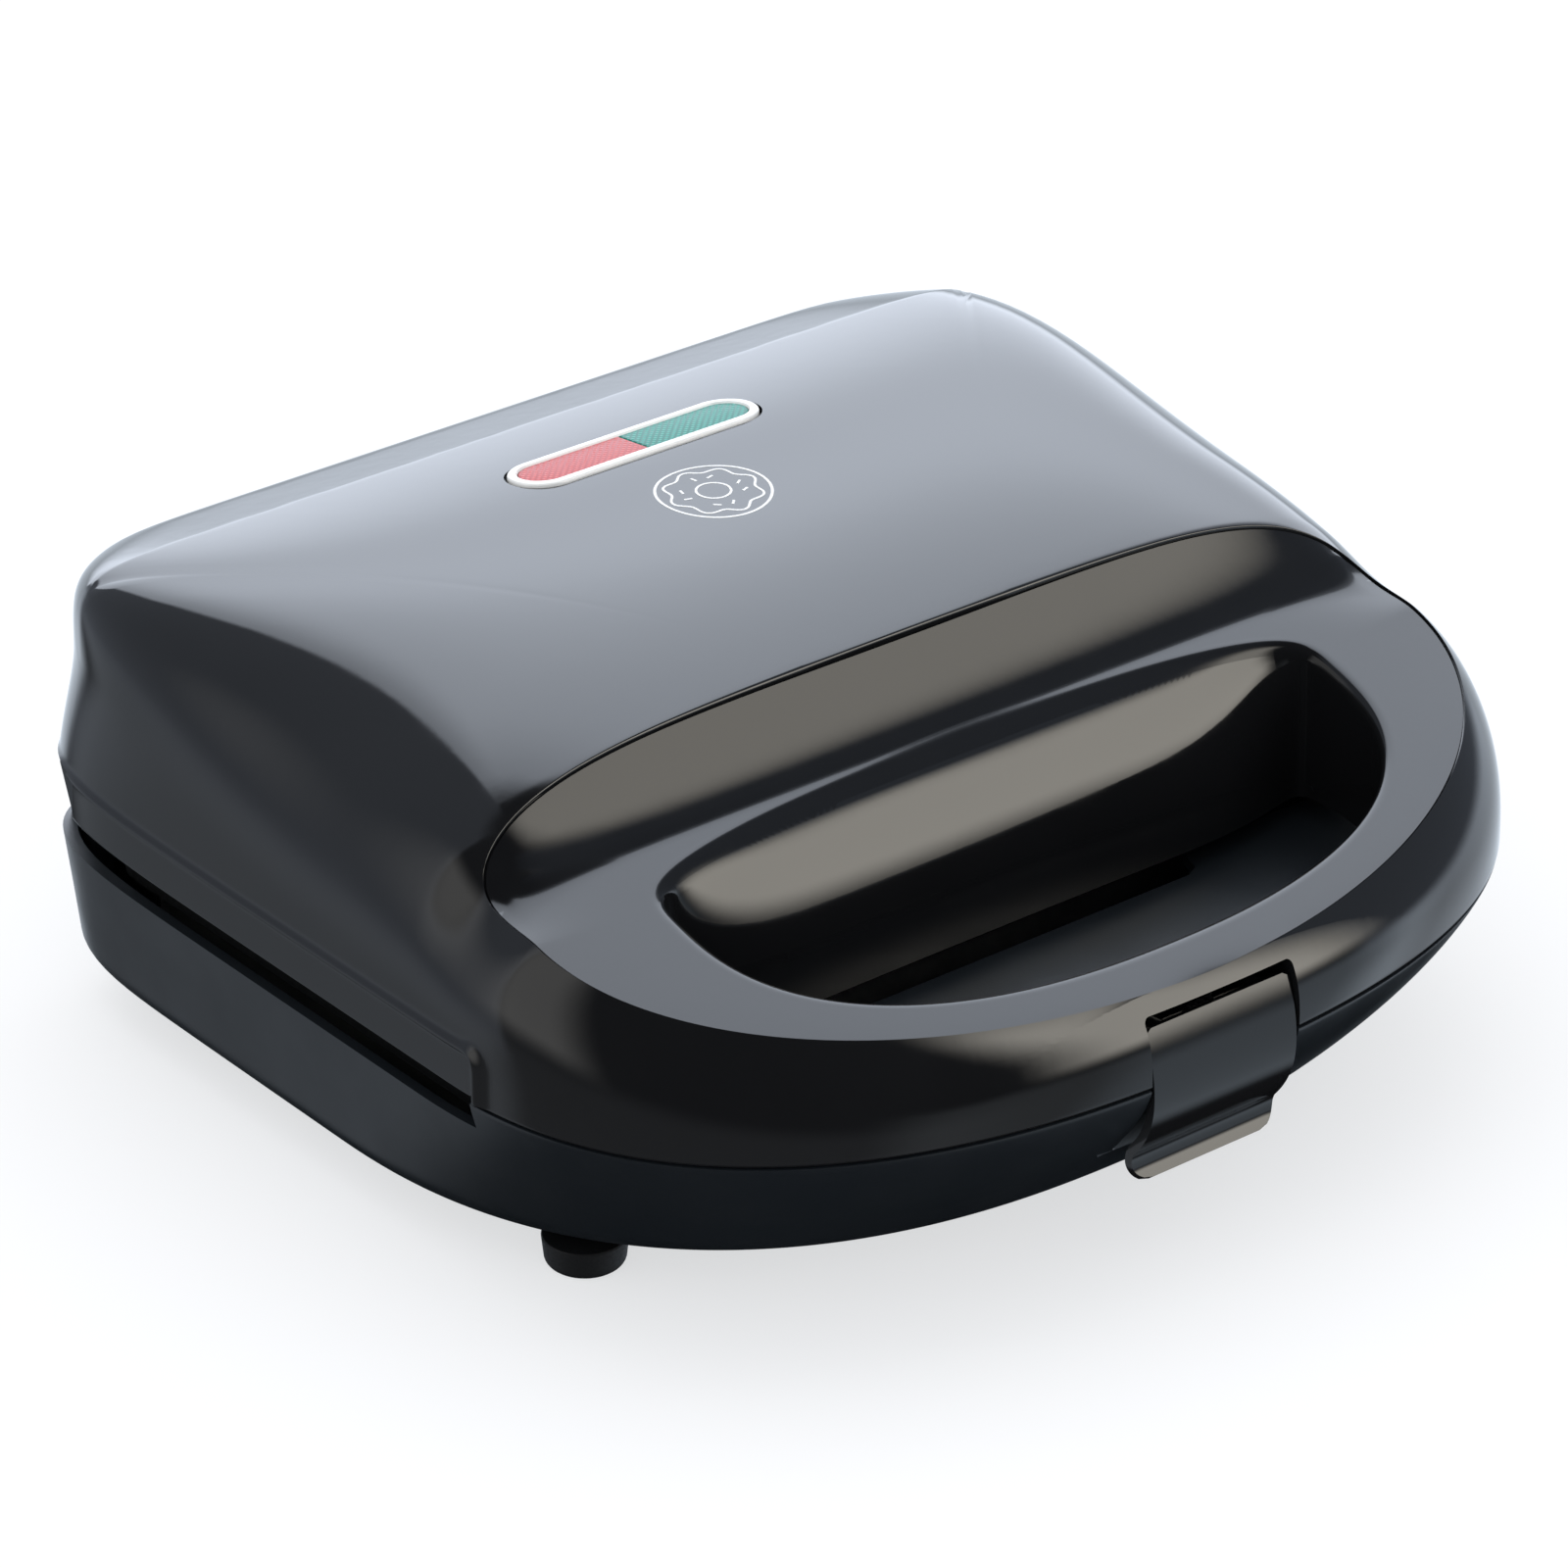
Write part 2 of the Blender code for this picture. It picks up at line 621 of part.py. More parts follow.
def hull_insets(depth):
    """Draw-in of the base at a depth below the parting plane: side, front and rear."""
    turn = np.clip((depth - (BASE_DEPTH - BASE_ROUND)) / BASE_ROUND, 0.0, 1.0)
    foot = BASE_ROUND * (1.0 - math.sqrt(1.0 - turn ** 2))
    level = depth / (BASE_DEPTH - BASE_ROUND)
    side = SIDE_DRAFT * level + foot
    rear = REAR_DRAFT * level + foot
    front = FRONT_RAKE * (depth / RAKE_DEPTH) ** RAKE_POWER + 0.6 * foot
    return side, front, rear


def hull_ring(angles, depth, wall=0.0):
    side, front, rear = hull_insets(depth)
    shift = BOW_SHIFT * depth / BASE_DEPTH
    return reach_at(outline_curve(side + wall, front + wall, rear + wall, shift), angles)


def base_shell_mesh():
    """The base: an open tray with a raked front and round lower edges."""
    angles = ray_angles(RAYS)
    top = PARTING_GAP / 2
    outer_depths = [top, 0.007, 0.014, 0.021, 0.026, 0.0305, 0.0335, 0.0352, BASE_DEPTH]
    inner_depths = [top, 0.010, 0.020, 0.026, 0.0305, BASE_DEPTH - WALL]
    rings = []
    for depth in reversed(outer_depths):
        rings.append(plan_points(angles, hull_ring(angles, depth), np.full(len(angles), -depth)))
    for depth in inner_depths:
        rings.append(plan_points(angles, hull_ring(angles, depth, WALL), np.full(len(angles), -depth)))
    bm = bmesh.new()
    rings = [[bm.verts.new(point) for point in ring] for ring in rings]
    join_rings(bm, rings)
    bm.faces.new(rings[0])
    bm.faces.new(rings[-1])
    return mesh_from(bm, "base_shell", True)


lid = add_object("lid_shell", lid_shell_mesh(), "gloss_black", lid_frame)
smooth(lid)
base = add_object("base_shell", base_shell_mesh(), "satin_black", base_frame)
smooth(base)


# ---- cuts and bosses of the shells --------------------------------------------------------------
def join_meshes(name, meshes):
    """Puts several separate closed bodies into one mesh, as a tool for a Boolean."""
    bm = bmesh.new()
    for mesh in meshes:
        bm.from_mesh(mesh)
        bpy.data.meshes.remove(mesh)
    joined = bpy.data.meshes.new(name)
    bm.to_mesh(joined)
    bm.free()
    return joined


def both_sides(name, maker):
    """The same body at the right (sign 1) and at the left (sign -1)."""
    return join_meshes(name, [maker(1), maker(-1)])


def side_box(sign, inner, outer, y_range, z_range, round_edges=0.0):
    low = (min(sign * inner, sign * outer), y_range[0], z_range[0])
    high = (max(sign * inner, sign * outer), y_range[1], z_range[1])
    return box_mesh("side_box", low, high, round_edges)


def surround(inner, low, high):
    """A U-shaped slab round the sides and rear, behind the front end of the side slots."""
    outline = [(-0.1300, SLOT_FRONT), (-inner, SLOT_FRONT), (-inner, 0.0800), (inner, 0.0800),
               (inner, SLOT_FRONT), (0.1300, SLOT_FRONT), (0.1300, 0.1220), (-0.1300, 0.1220)]
    return slab_mesh("surround", outline, low, high)


lid_rear_cut = add_cutter("lid_rear_cut", box_mesh(
    "lid_rear_cut", (-0.1300, SKIRT_REAR, -0.0120), (0.1300, 0.1220, LID_EDGE)))
base_slots = add_cutter("base_slots", surround(0.1060, BASE_EDGE, 0.0200))
base_rear_cut = add_cutter("base_rear_cut", box_mesh(
    "base_rear_cut", (-0.0980, 0.0805, REAR_EDGE), (0.0980, 0.1210, 0.0210)))
boolean(lid, "DIFFERENCE", lid_rear_cut)
boolean(base, "DIFFERENCE", base_slots)
boolean(base, "DIFFERENCE", base_rear_cut)


def hinge_rod(sign, x_range, radius, segments=20):
    return rod_mesh("rod", (sign * x_range[0], HINGE_Y, HINGE_Z), (sign * x_range[1], HINGE_Y, HINGE_Z),
                    radius, segments)


def hinge_lug(sign, x_range, rear, front, up):
    """A hinge lug: round about the axis, with a web to the shell along rear and front lines."""
    start = 180.0 if up else 0.0
    outline = arc_points((HINGE_Y, HINGE_Z), KNUCKLE_RADIUS, start, start + 180.0, 11)
    outline += rear + front[::-1] if up else front + rear[::-1]
    middle = sign * (x_range[0] + x_range[1]) / 2
    return bar_mesh("lug", outline, (x_range[1] - x_range[0]) / 2, middle)


knuckles = add_cutter("knuckles", both_sides("knuckles", lambda sign: hinge_lug(
    sign, KNUCKLE_X, [(0.0912, 0.0120), (0.0892, 0.0190)], [(0.0815, 0.0125), (0.0850, 0.0190)], True)))
boolean(lid, "UNION", knuckles)

barrel = add_cutter("barrel", rod_mesh("barrel", (-BARREL_END, HINGE_Y, HINGE_Z),
                                       (BARREL_END, HINGE_Y, HINGE_Z), BARREL_RADIUS, 20))
barrel_webs = add_cutter("barrel_webs", both_sides("barrel_webs", lambda sign: side_box(
    sign, 0.0605, BARREL_END - 0.0005, (0.0826, 0.0895), (-0.0350, HINGE_Z))))
inner_lugs = add_cutter("inner_lugs", both_sides("inner_lugs", lambda sign: hinge_lug(
    sign, LUG_X, [(0.0924, -0.0110), (0.0912, -0.0250)], [(0.0818, -0.0110), (0.0822, -0.0350)], False)))
outer_ears = add_cutter("outer_ears", both_sides("outer_ears", lambda sign: hinge_lug(
    sign, EAR_X, [(0.0886, -0.0050), (0.0848, -0.0250)], [(0.0813, -0.0050), (0.0808, -0.0250)], False)))
for tool in (barrel, barrel_webs, inner_lugs, outer_ears):
    boolean(base, "UNION", tool)
hinge_bores = add_cutter("hinge_bores", both_sides("hinge_bores", lambda sign: hinge_rod(
    sign, (BARREL_END + 0.0010, 0.1100), PIN_RADIUS + FIT_GAP, 16)))
boolean(lid, "DIFFERENCE", hinge_bores)
boolean(base, "DIFFERENCE", hinge_bores)

# screw posts in both shells
POST_PLACES = [(sign * SCREW_X, y) for sign in (-1, 1) for y in SCREW_Y]


def post_rods(name, radius, low, high, segments=8):
    return join_meshes(name, [rod_mesh("post", (x, y, low), (x, y, high), radius, segments)
                              for x, y in POST_PLACES])


def lid_roof(x, y):
    """Height inside the lid's roof or handle recess where a post joins it."""
    turn = np.linspace(0.0, 2 * math.pi, 12)
    near_x = abs(x) + POST_RADIUS * np.cos(turn)
    near_y = y + POST_RADIUS * np.sin(turn)
    top = lid_height(near_x, near_y)
    top = np.where(near_y < plate_rear_edge(near_x) + 0.001, recess_height(near_x, near_y), top)
    return float(top.min()) - 0.6 * WALL


lid_posts = add_cutter("lid_posts", join_meshes("lid_posts", [
    rod_mesh("post", (x, y, POST_FACE), (x, y, lid_roof(x, y)), POST_RADIUS, 8)
    for x, y in POST_PLACES]))
base_posts = add_cutter("base_posts", post_rods("base_posts", POST_RADIUS, -BASE_DEPTH + 0.5 * WALL,
                                                -POST_FACE))
post_bores = add_cutter("post_bores", join_meshes("post_bores", [
    post_rods("bores", SCREW_RADIUS + 2 * FIT_GAP, POST_FACE - 0.002, SCREW_END + 0.001),
    post_rods("bores", SCREW_RADIUS + 2 * FIT_GAP, -SCREW_END - 0.001, -POST_FACE + 0.002)]))
boolean(lid, "UNION", lid_posts)
boolean(base, "UNION", base_posts)
boolean(lid, "DIFFERENCE", post_bores)
boolean(base, "DIFFERENCE", post_bores)

# latch recess with its pin bosses, and the notch with the catch in the base
latch_recess = add_cutter("latch_recess", box_mesh(
    "latch_recess", (-LATCH_HALF_SLOT, -0.1400, -0.0100), (LATCH_HALF_SLOT, -0.1120, RECESS_TOP), 0.0008))
pin_bosses = add_cutter("pin_bosses", both_sides("pin_bosses", lambda sign: side_box(
    sign, LATCH_HALF_SLOT - 0.0005, 0.0225, (-0.1234, -0.1155), (0.0032, 0.0104))))
pin_bore = add_cutter("pin_bore", rod_mesh(
    "pin_bore", (-0.0212, LATCH_PIVOT_Y, LATCH_PIVOT_Z), (0.0212, LATCH_PIVOT_Y, LATCH_PIVOT_Z),
    LATCH_PIN_RADIUS + FIT_GAP, 12))
boolean(lid, "UNION", pin_bosses)
boolean(lid, "DIFFERENCE", latch_recess)
boolean(lid, "DIFFERENCE", pin_bore)
latch_notch = add_cutter("latch_notch", box_mesh(
    "latch_notch", (-LATCH_HALF_SLOT, -0.1400, -0.0240), (LATCH_HALF_SLOT, CATCH_Y, 0.0200)))
catch_wall = add_cutter("catch_wall", box_mesh(
    "catch_wall", (-0.0205, CATCH_Y, -0.0225), (0.0205, CATCH_Y + WALL, -0.0070)))
catch_ledge = add_cutter("catch_ledge", box_mesh(
    "catch_ledge", (-0.0100, CATCH_Y - 0.0035, -0.0112), (0.0100, CATCH_Y + 0.0010, -0.0092)))
boolean(base, "DIFFERENCE", latch_notch)
boolean(base, "UNION", catch_wall)
boolean(base, "UNION", catch_ledge)

gland_bore = add_cutter("gland_bore", rod_mesh(
    "gland_bore", (GLAND_X, 0.0850, GLAND_Z), (GLAND_X, 0.1000, GLAND_Z), GLAND_NECK + FIT_GAP, 16))
boolean(base, "DIFFERENCE", gland_bore)


# ---- indicator window ---------------------------------------------------------------------------
INDICATOR_Z = float(top_panel(INDICATOR_Y))
INDICATOR_LEAN = math.atan(TOP_SLOPE + 2 * TOP_CROWN * INDICATOR_Y + 3 * TOP_SKEW * INDICATOR_Y ** 2)


def lean_on_top(mesh):
    """Moves a mesh drawn about the origin onto the sloping top panel."""
    bm = bmesh.new()
    bm.from_mesh(mesh)
    turn = Matrix.Rotation(INDICATOR_LEAN, 4, "X")
    bmesh.ops.transform(bm, matrix=turn, verts=bm.verts)
    bmesh.ops.translate(bm, vec=(0.0, INDICATOR_Y, INDICATOR_Z), verts=bm.verts)
    bm.to_mesh(mesh)
    bm.free()
    return mesh


def grown_stadium(grow):
    return stadium((0.0, 0.0), INDICATOR_LENGTH + 2 * grow, INDICATOR_WIDTH + 2 * grow)


window = add_cutter("window", lean_on_top(slab_mesh("window", grown_stadium(0.0006), -0.0080, 0.0060)))
boolean(lid, "DIFFERENCE", window)

bezel = add_object("indicator_bezel", lean_on_top(slab_mesh(
    "indicator_bezel", grown_stadium(0.0), -0.0042, 0.0006)), "white_plastic", lid_frame)
bezel_hole = add_cutter("bezel_hole", lean_on_top(slab_mesh(
    "bezel_hole", grown_stadium(-INDICATOR_BORDER), -0.0060, 0.0020)))
boolean(bezel, "DIFFERENCE", bezel_hole)


def half_stadium(sign):
    """Outline of one half of the lens opening, from the middle seam to a round end."""
    radius = INDICATOR_WIDTH / 2 - INDICATOR_BORDER - FIT_GAP
    reach = INDICATOR_LENGTH / 2 - INDICATOR_WIDTH / 2
    seam = FIT_GAP / 2
    if sign > 0:
        return [(seam, -radius)] + arc_points((reach, 0.0), radius, -90, 90, 9) + [(seam, radius)]
    return [(-seam, radius)] + arc_points((-reach, 0.0), radius, 90, 270, 9) + [(-seam, -radius)]


for side, sign in (("red", -1), ("green", 1)):
    add_object(side + "_lens", lean_on_top(slab_mesh(
        side + "_lens", half_stadium(sign), -0.0030, 0.0002)), side + "_lens", lid_frame)
    lamp = add_object(side + "_lamp", lean_on_top(rod_mesh(
        side + "_lamp", (sign * 0.0060, 0.0, -0.0090), (sign * 0.0230, 0.0, -0.0090), 0.0028, 12)),
        "lamp_glass", lid_frame)
    smooth(lamp)

bracket = add_object("lamp_bracket", lean_on_top(box_mesh(
    "lamp_bracket", (-0.0360, -0.0060, -0.0140), (0.0360, 0.0060, -0.0128))), "white_plastic", lid_frame)
bracket_posts = add_cutter("bracket_posts", join_meshes("bracket_posts", [
    lean_on_top(side_box(sign, 0.0325, 0.0360, (-0.0050, 0.0050), (-0.0130, -0.0030)))
    for sign in (1, -1)]))
boolean(bracket, "UNION", bracket_posts)


# ---- baking plates, elements and reflectors -----------------------------------------------------
def pan_mesh(name, inset, face, floor, rim):
    """A shallow pan: a flat floor between `face` and `floor`, with a skirt that reaches `rim`."""
    outer = rounded_rectangle((-GRID_HALF_WIDTH + inset, GRID_FRONT + inset),
                              (GRID_HALF_WIDTH - inset, GRID_REAR - inset), GRID_CORNER)
    skin = abs(floor - face)
    inner = rounded_rectangle((-GRID_HALF_WIDTH + inset + skin, GRID_FRONT + inset + skin),
                              (GRID_HALF_WIDTH - inset - skin, GRID_REAR - inset - skin),
                              GRID_CORNER - skin)
    bm = bmesh.new()
    rings = [[bm.verts.new((x, y, z)) for x, y in outline]
             for outline, z in ((outer, face), (outer, rim), (inner, rim), (inner, floor))]
    join_rings(bm, rings)
    bm.faces.new(rings[0])
    bm.faces.new(rings[-1])
    return mesh_from(bm, name)


def ring_places():
    """Middles of the seven donut rings, in rows of two, three and two."""
    middle_y = (GRID_FRONT + GRID_REAR) / 2
    for row, count in ((-1, 2), (0, 3), (1, 2)):
        for k in range(count):
            yield (k - (count - 1) / 2) * RING_PITCH_X, middle_y + row * RING_PITCH_Y


def bowl_mesh(x, y, sign):
    """The back of one donut ring: a shallow dome that holds the ring and its middle post."""
    outer = RING_SECTION + PLATE_SKIN * 0.8
    top = RING_DEPTH + PLATE_SKIN * 0.8
    profile = [(0.0, PLATE_FACE + 0.0006)]
    profile.append((RING_MIDDLE_RADIUS + outer, PLATE_FACE + 0.0006))
    for angle in (10, 50, 90, 130):
        turn = math.radians(angle)
        profile.append((RING_MIDDLE_RADIUS + outer * math.cos(turn),
                        PLATE_FACE + 0.0012 + (top - 0.0012) * math.sin(turn)))
    profile.append((0.0, PLATE_FACE + 0.0060))
    return turned_mesh("bowl", [(r, sign * z) for r, z in profile], (x, y), RING_SEGMENTS)


def ring_mesh(x, y, sign):
    """The cavity of one donut ring, as a closed ring with an oval section."""
    bm = bmesh.new()
    rings = []
    for k in range(8):
        turn = 2 * math.pi * (k + 0.5) / 8
        radius = RING_MIDDLE_RADIUS + RING_SECTION * math.cos(turn)
        z = sign * (PLATE_FACE + RING_DEPTH * math.sin(turn))
        rings.append([bm.verts.new((x + radius * math.cos(2 * math.pi * j / RING_SEGMENTS),
                                    y + radius * math.sin(2 * math.pi * j / RING_SEGMENTS), z))
                      for j in range(RING_SEGMENTS)])
    join_rings(bm, rings, closed=True)
    return mesh_from(bm, "ring")


def element_path(sign):
    """Line of the heating element: a loop round the rings, open at the rear."""
    z = sign * ELEMENT_Z
    front, rear, side, bend = -0.0330, 0.0560, 0.0790, 0.0160
    points = [(-0.0200, rear)]
    points += arc_points((-side + bend, rear - bend), bend, 90, 180, 6)
    points += arc_points((-side + bend, front + bend), bend, 180, 270, 6)
    points += arc_points((side - bend, front + bend), bend, 270, 360, 6)
    points += arc_points((side - bend, rear - bend), bend, 0, 90, 6)
    points += [(0.0200, rear)]
    return [(x, y, z) for x, y in points]


def bake_side(prefix, sign, frame):
    """One plate with its element, its reflector and its four screws."""
    plate = add_object(prefix + "_plate", pan_mesh(
        prefix + "_plate", 0.0, sign * PLATE_FACE, sign * (PLATE_FACE + PLATE_SKIN), sign * PLATE_RIM),
        "non_stick", frame)
    bowls = add_cutter(prefix + "_bowls", join_meshes("bowls", [
        bowl_mesh(x, y, sign) for x, y in ring_places()]))
    bosses = add_cutter(prefix + "_bosses", join_meshes("bosses", [
        rod_mesh("boss", (x, y, sign * (PLATE_FACE + 0.0004)), (x, y, sign * BOSS_TOP), POST_RADIUS, 8)
        for x, y in POST_PLACES]))
    rings = add_cutter(prefix + "_rings", join_meshes("rings", [
        ring_mesh(x, y, sign) for x, y in ring_places()]))
    head_pockets = add_cutter(prefix + "_head_pockets", join_meshes("pockets", [
        rod_mesh("pocket", (x, y, sign * (PLATE_FACE - 0.002)), (x, y, sign * (PLATE_FACE + HEAD_DEPTH)),
                 HEAD_RADIUS + 2 * FIT_GAP, 8) for x, y in POST_PLACES]))
    bores = add_cutter(prefix + "_bores", join_meshes("bores", [
        rod_mesh("bore", (x, y, sign * (PLATE_FACE - 0.001)), (x, y, sign * (POST_FACE + 0.001)),
                 SCREW_RADIUS + 2 * FIT_GAP, 8) for x, y in POST_PLACES]))
    for operation, tool in (("UNION", bowls), ("UNION", bosses), ("DIFFERENCE", rings),
                            ("DIFFERENCE", head_pockets), ("DIFFERENCE", bores)):
        boolean(plate, operation, tool)
    smooth(plate, 30.0)
    element = add_object(prefix + "_element", tube_mesh(
        prefix + "_element", element_path(sign), ELEMENT_RADIUS), "steel", frame)
    smooth(element)
    reflector = add_object(prefix + "_reflector", pan_mesh(
        prefix + "_reflector", 0.0045, sign * (POST_FACE - FIT_GAP),
        sign * (POST_FACE - FIT_GAP - SHEET), sign * (PLATE_RIM + 0.0015)), "reflector", frame)
    boolean(reflector, "DIFFERENCE", bores)
    for number, (x, y) in enumerate(POST_PLACES, start=1):
        head = sign * (PLATE_FACE + HEAD_DEPTH - FIT_GAP)
        profile = [(0.0, sign * (PLATE_FACE + 0.0002)), (HEAD_RADIUS, sign * (PLATE_FACE + 0.0002)),
                   (HEAD_RADIUS, head), (SCREW_RADIUS, head), (SCREW_RADIUS, sign * SCREW_END),
                   (0.0, sign * SCREW_END)]
        screw = add_object(f"{prefix}_plate_screw_{number}", turned_mesh("screw", profile, (x, y), 8),
                           "steel", frame)
        smooth(screw)


bake_side("lower", -1, base_frame)
bake_side("upper", 1, lid_frame)


# ---- hinge pins, latch and feet -----------------------------------------------------------------
for side, sign in (("left", -1), ("right", 1)):
    pin = add_object("hinge_pin_" + side, hinge_rod(sign, (LUG_X[0] + FIT_GAP, EAR_X[1] - FIT_GAP),
                                                    PIN_RADIUS, 16), "steel", base_frame)
    smooth(pin)


def latch_section():
    """Section of the latch plate: a bulged outer face, a flared lip and an even wall."""
    bulge_z, bulge_y = -0.0010, -0.1257
    outer = []
    for k in range(9):
        z = 0.0106 - 0.0266 * k / 8
        above = z > bulge_z
        share = abs(z - bulge_z) / (0.0124 if above else 0.0150)
        outer.append((bulge_y + (0.0021 if above else 0.0051) * share ** 2.2, z))
    outer += [(-0.1203, -0.0180), (-0.1208, -0.0198), (-0.1215, -0.0215)]
    inner = [(y + LATCH_WALL, z) for y, z in outer]
    return outer + inner[::-1]


latch = add_object("latch", bar_mesh("latch", latch_section(), LATCH_WIDTH / 2), "gloss_black",
                   latch_frame)
latch_lugs = add_cutter("latch_lugs", both_sides("latch_lugs", lambda sign: side_box(
    sign, 0.0100, 0.0135, (-0.1238, -0.1162), (0.0046, 0.0094))))
latch_hook = add_cutter("latch_hook", box_mesh(
    "latch_hook", (-0.0090, -0.1215, -0.0134), (0.0090, CATCH_Y - 0.0010, -0.0118)))
latch_bore = add_cutter("latch_bore", rod_mesh(
    "latch_bore", (-0.0150, LATCH_PIVOT_Y, LATCH_PIVOT_Z), (0.0150, LATCH_PIVOT_Y, LATCH_PIVOT_Z),
    LATCH_PIN_RADIUS + FIT_GAP, 12))
for operation, tool in (("UNION", latch_lugs), ("UNION", latch_hook), ("DIFFERENCE", latch_bore)):
    boolean(latch, operation, tool)
smooth(latch)

latch_pin = add_object("latch_pin", rod_mesh(
    "latch_pin", (-0.0207, LATCH_PIVOT_Y, LATCH_PIVOT_Z), (0.0207, LATCH_PIVOT_Y, LATCH_PIVOT_Z),
    LATCH_PIN_RADIUS, 12), "steel", lid_frame)
smooth(latch_pin)


def spring_path():
    """Line of the torsion spring: close turns round the pin, and two straight legs."""
    turns, radius, per_turn = 4, 0.0015, 8
    start = (-0.0035, LATCH_PIVOT_Y + radius, LATCH_PIVOT_Z)
    points = [(start[0], start[1], start[2] - 0.0050)]
    for k in range(turns * per_turn + 1):
        angle = 2 * math.pi * k / per_turn
        points.append((-0.0035 + 0.0070 * k / (turns * per_turn),
                       LATCH_PIVOT_Y + radius * math.cos(angle), LATCH_PIVOT_Z + radius * math.sin(angle)))
    points.append((0.0035, LATCH_PIVOT_Y + radius, LATCH_PIVOT_Z + 0.0035))
    return points


latch_spring = add_object("latch_spring", tube_mesh("latch_spring", spring_path(), 0.0004, 1), "steel",
                          latch_frame)

for name, (x, y) in FEET.items():
    top = -BASE_DEPTH - FIT_GAP
    bottom = -PARTING_HEIGHT
    profile = [(0.0, top), (FOOT_RADIUS, top), (FOOT_RADIUS - 0.0004, bottom + 0.0020),
               (FOOT_RADIUS - 0.0011, bottom + 0.0006), (FOOT_RADIUS - 0.0026, bottom), (0.0, bottom)]
    foot = add_object(name, turned_mesh(name, profile, (x, y), 20), "rubber", base_frame)
    smooth(foot)


# ---- handle covers ------------------------------------------------------------------------------
def liner_outline():
    """Outline of the cover under the lid's handle."""
    angles = np.radians(np.linspace(-200.0, 20.0, 45))
    far = reach_at(outline_curve(WALL + 0.0008, WALL + 0.0008, WALL), angles)
    x, y = far * np.cos(angles), HOLE_MIDDLE + far * np.sin(angles)
    kept = [(a, b) for a, b in zip(x, y) if b < LINER_REAR]
    edge = HALF_WIDTH - WALL - 0.0008
    return [(-edge, LINER_REAR)] + kept + [(edge, LINER_REAR)]


def skirt_outline():
    """Outline just outside the finger hole's skirt at its lower edge."""
    angles = ray_angles(56)
    ring = hole_wall(angles, WALL + 0.0005, SKIRT_BOTTOM, 2)[0]
    return [(x, y) for x, y, _ in ring]


liner = add_object("handle_liner", slab_mesh("handle_liner", liner_outline(), LINER_LOW, LINER_HIGH),
                   "satin_black", lid_frame)
skirt_hole = add_cutter("skirt_hole", slab_mesh("skirt_hole", skirt_outline(), -0.0020, 0.0060))
liner_notch = add_cutter("liner_notch", box_mesh(
    "liner_notch", (-0.0235, -0.1400, -0.0020), (0.0235, -0.1145, 0.0060)))
boolean(liner, "DIFFERENCE", skirt_hole)
boolean(liner, "DIFFERENCE", liner_notch)


def shelf_outline():
    """Outline of the shelf under the finger hole, with its stepped rear edge."""
    angles = np.radians(np.linspace(-200.0, 20.0, 45))
    far = hull_ring(angles, 0.0064, WALL + 0.0006)
    x, y = far * np.cos(angles), HOLE_MIDDLE + far * np.sin(angles)
    kept = [(a, b) for a, b in zip(x, y) if b < SHELF_REAR - 0.0005]
    edge = kept[-1][0] + 0.0002
    steps = [(0.0520, SHELF_REAR), (0.0490, SHELF_REAR - 0.0015), (0.0475, SHELF_STEP + 0.0015),
             (0.0445, SHELF_STEP)]
    right = [(edge, SHELF_REAR)] + steps
    return kept + right + [(-a, b) for a, b in reversed(right)]


shelf = add_object("handle_shelf", slab_mesh("handle_shelf", shelf_outline(), -0.0062, -0.0040),
                   "satin_black", base_frame)
shelf_notch = add_cutter("shelf_notch", box_mesh(
    "shelf_notch", (-0.0220, -0.1400, -0.0100), (0.0220, CATCH_Y + WALL + 0.0005, 0.0000)))
boolean(shelf, "DIFFERENCE", shelf_notch)


# ---- electrical parts ---------------------------------------------------------------------------
def gland_mesh():
    """The inlet bush: a flanged sleeve along y with a bore for the mains lead."""
    wall_face = GLAND_WALL
    profile = [(GLAND_NECK - 0.0012, wall_face + 0.0040), (GLAND_NECK + 0.0002, wall_face + 0.0040),
               (GLAND_NECK + 0.0018, wall_face + FIT_GAP), (GLAND_NECK, wall_face + FIT_GAP),
               (GLAND_NECK, wall_face - WALL - 0.0012), (GLAND_NECK - 0.0012, wall_face - WALL - 0.0012)]
    bm = bmesh.new()
    rings = []
    for radius, y in profile:
        rings.append([bm.verts.new((GLAND_X + radius * math.cos(2 * math.pi * k / 16), y,
                                    GLAND_Z + radius * math.sin(2 * math.pi * k / 16)))
                      for k in range(16)])
    join_rings(bm, rings, closed=True)
    return mesh_from(bm, "cord_gland")


smooth(add_object("cord_gland", gland_mesh(), "rubber", base_frame))

below = -POST_FACE - FIT_GAP
smooth(add_object("thermostat", rod_mesh(
    "thermostat", (0.0300, 0.0120, below), (0.0300, 0.0120, below - 0.0070), 0.0075, 20), "ceramic",
    base_frame))
add_object("thermostat_bracket", box_mesh(
    "thermostat_bracket", (0.0170, 0.0080, below - 0.0081), (0.0430, 0.0160, below - 0.0073)), "steel",
    base_frame)
smooth(add_object("thermal_fuse", rod_mesh(
    "thermal_fuse", (-0.0480, 0.0260, below - 0.0030), (-0.0280, 0.0260, below - 0.0030), 0.0020, 12),
    "sleeving", base_frame))
add_object("terminal_block", box_mesh(
    "terminal_block", (-0.0150, 0.0420, -0.0335), (0.0110, 0.0540, -0.0240), 0.0010, 1),
    "ceramic", base_frame)
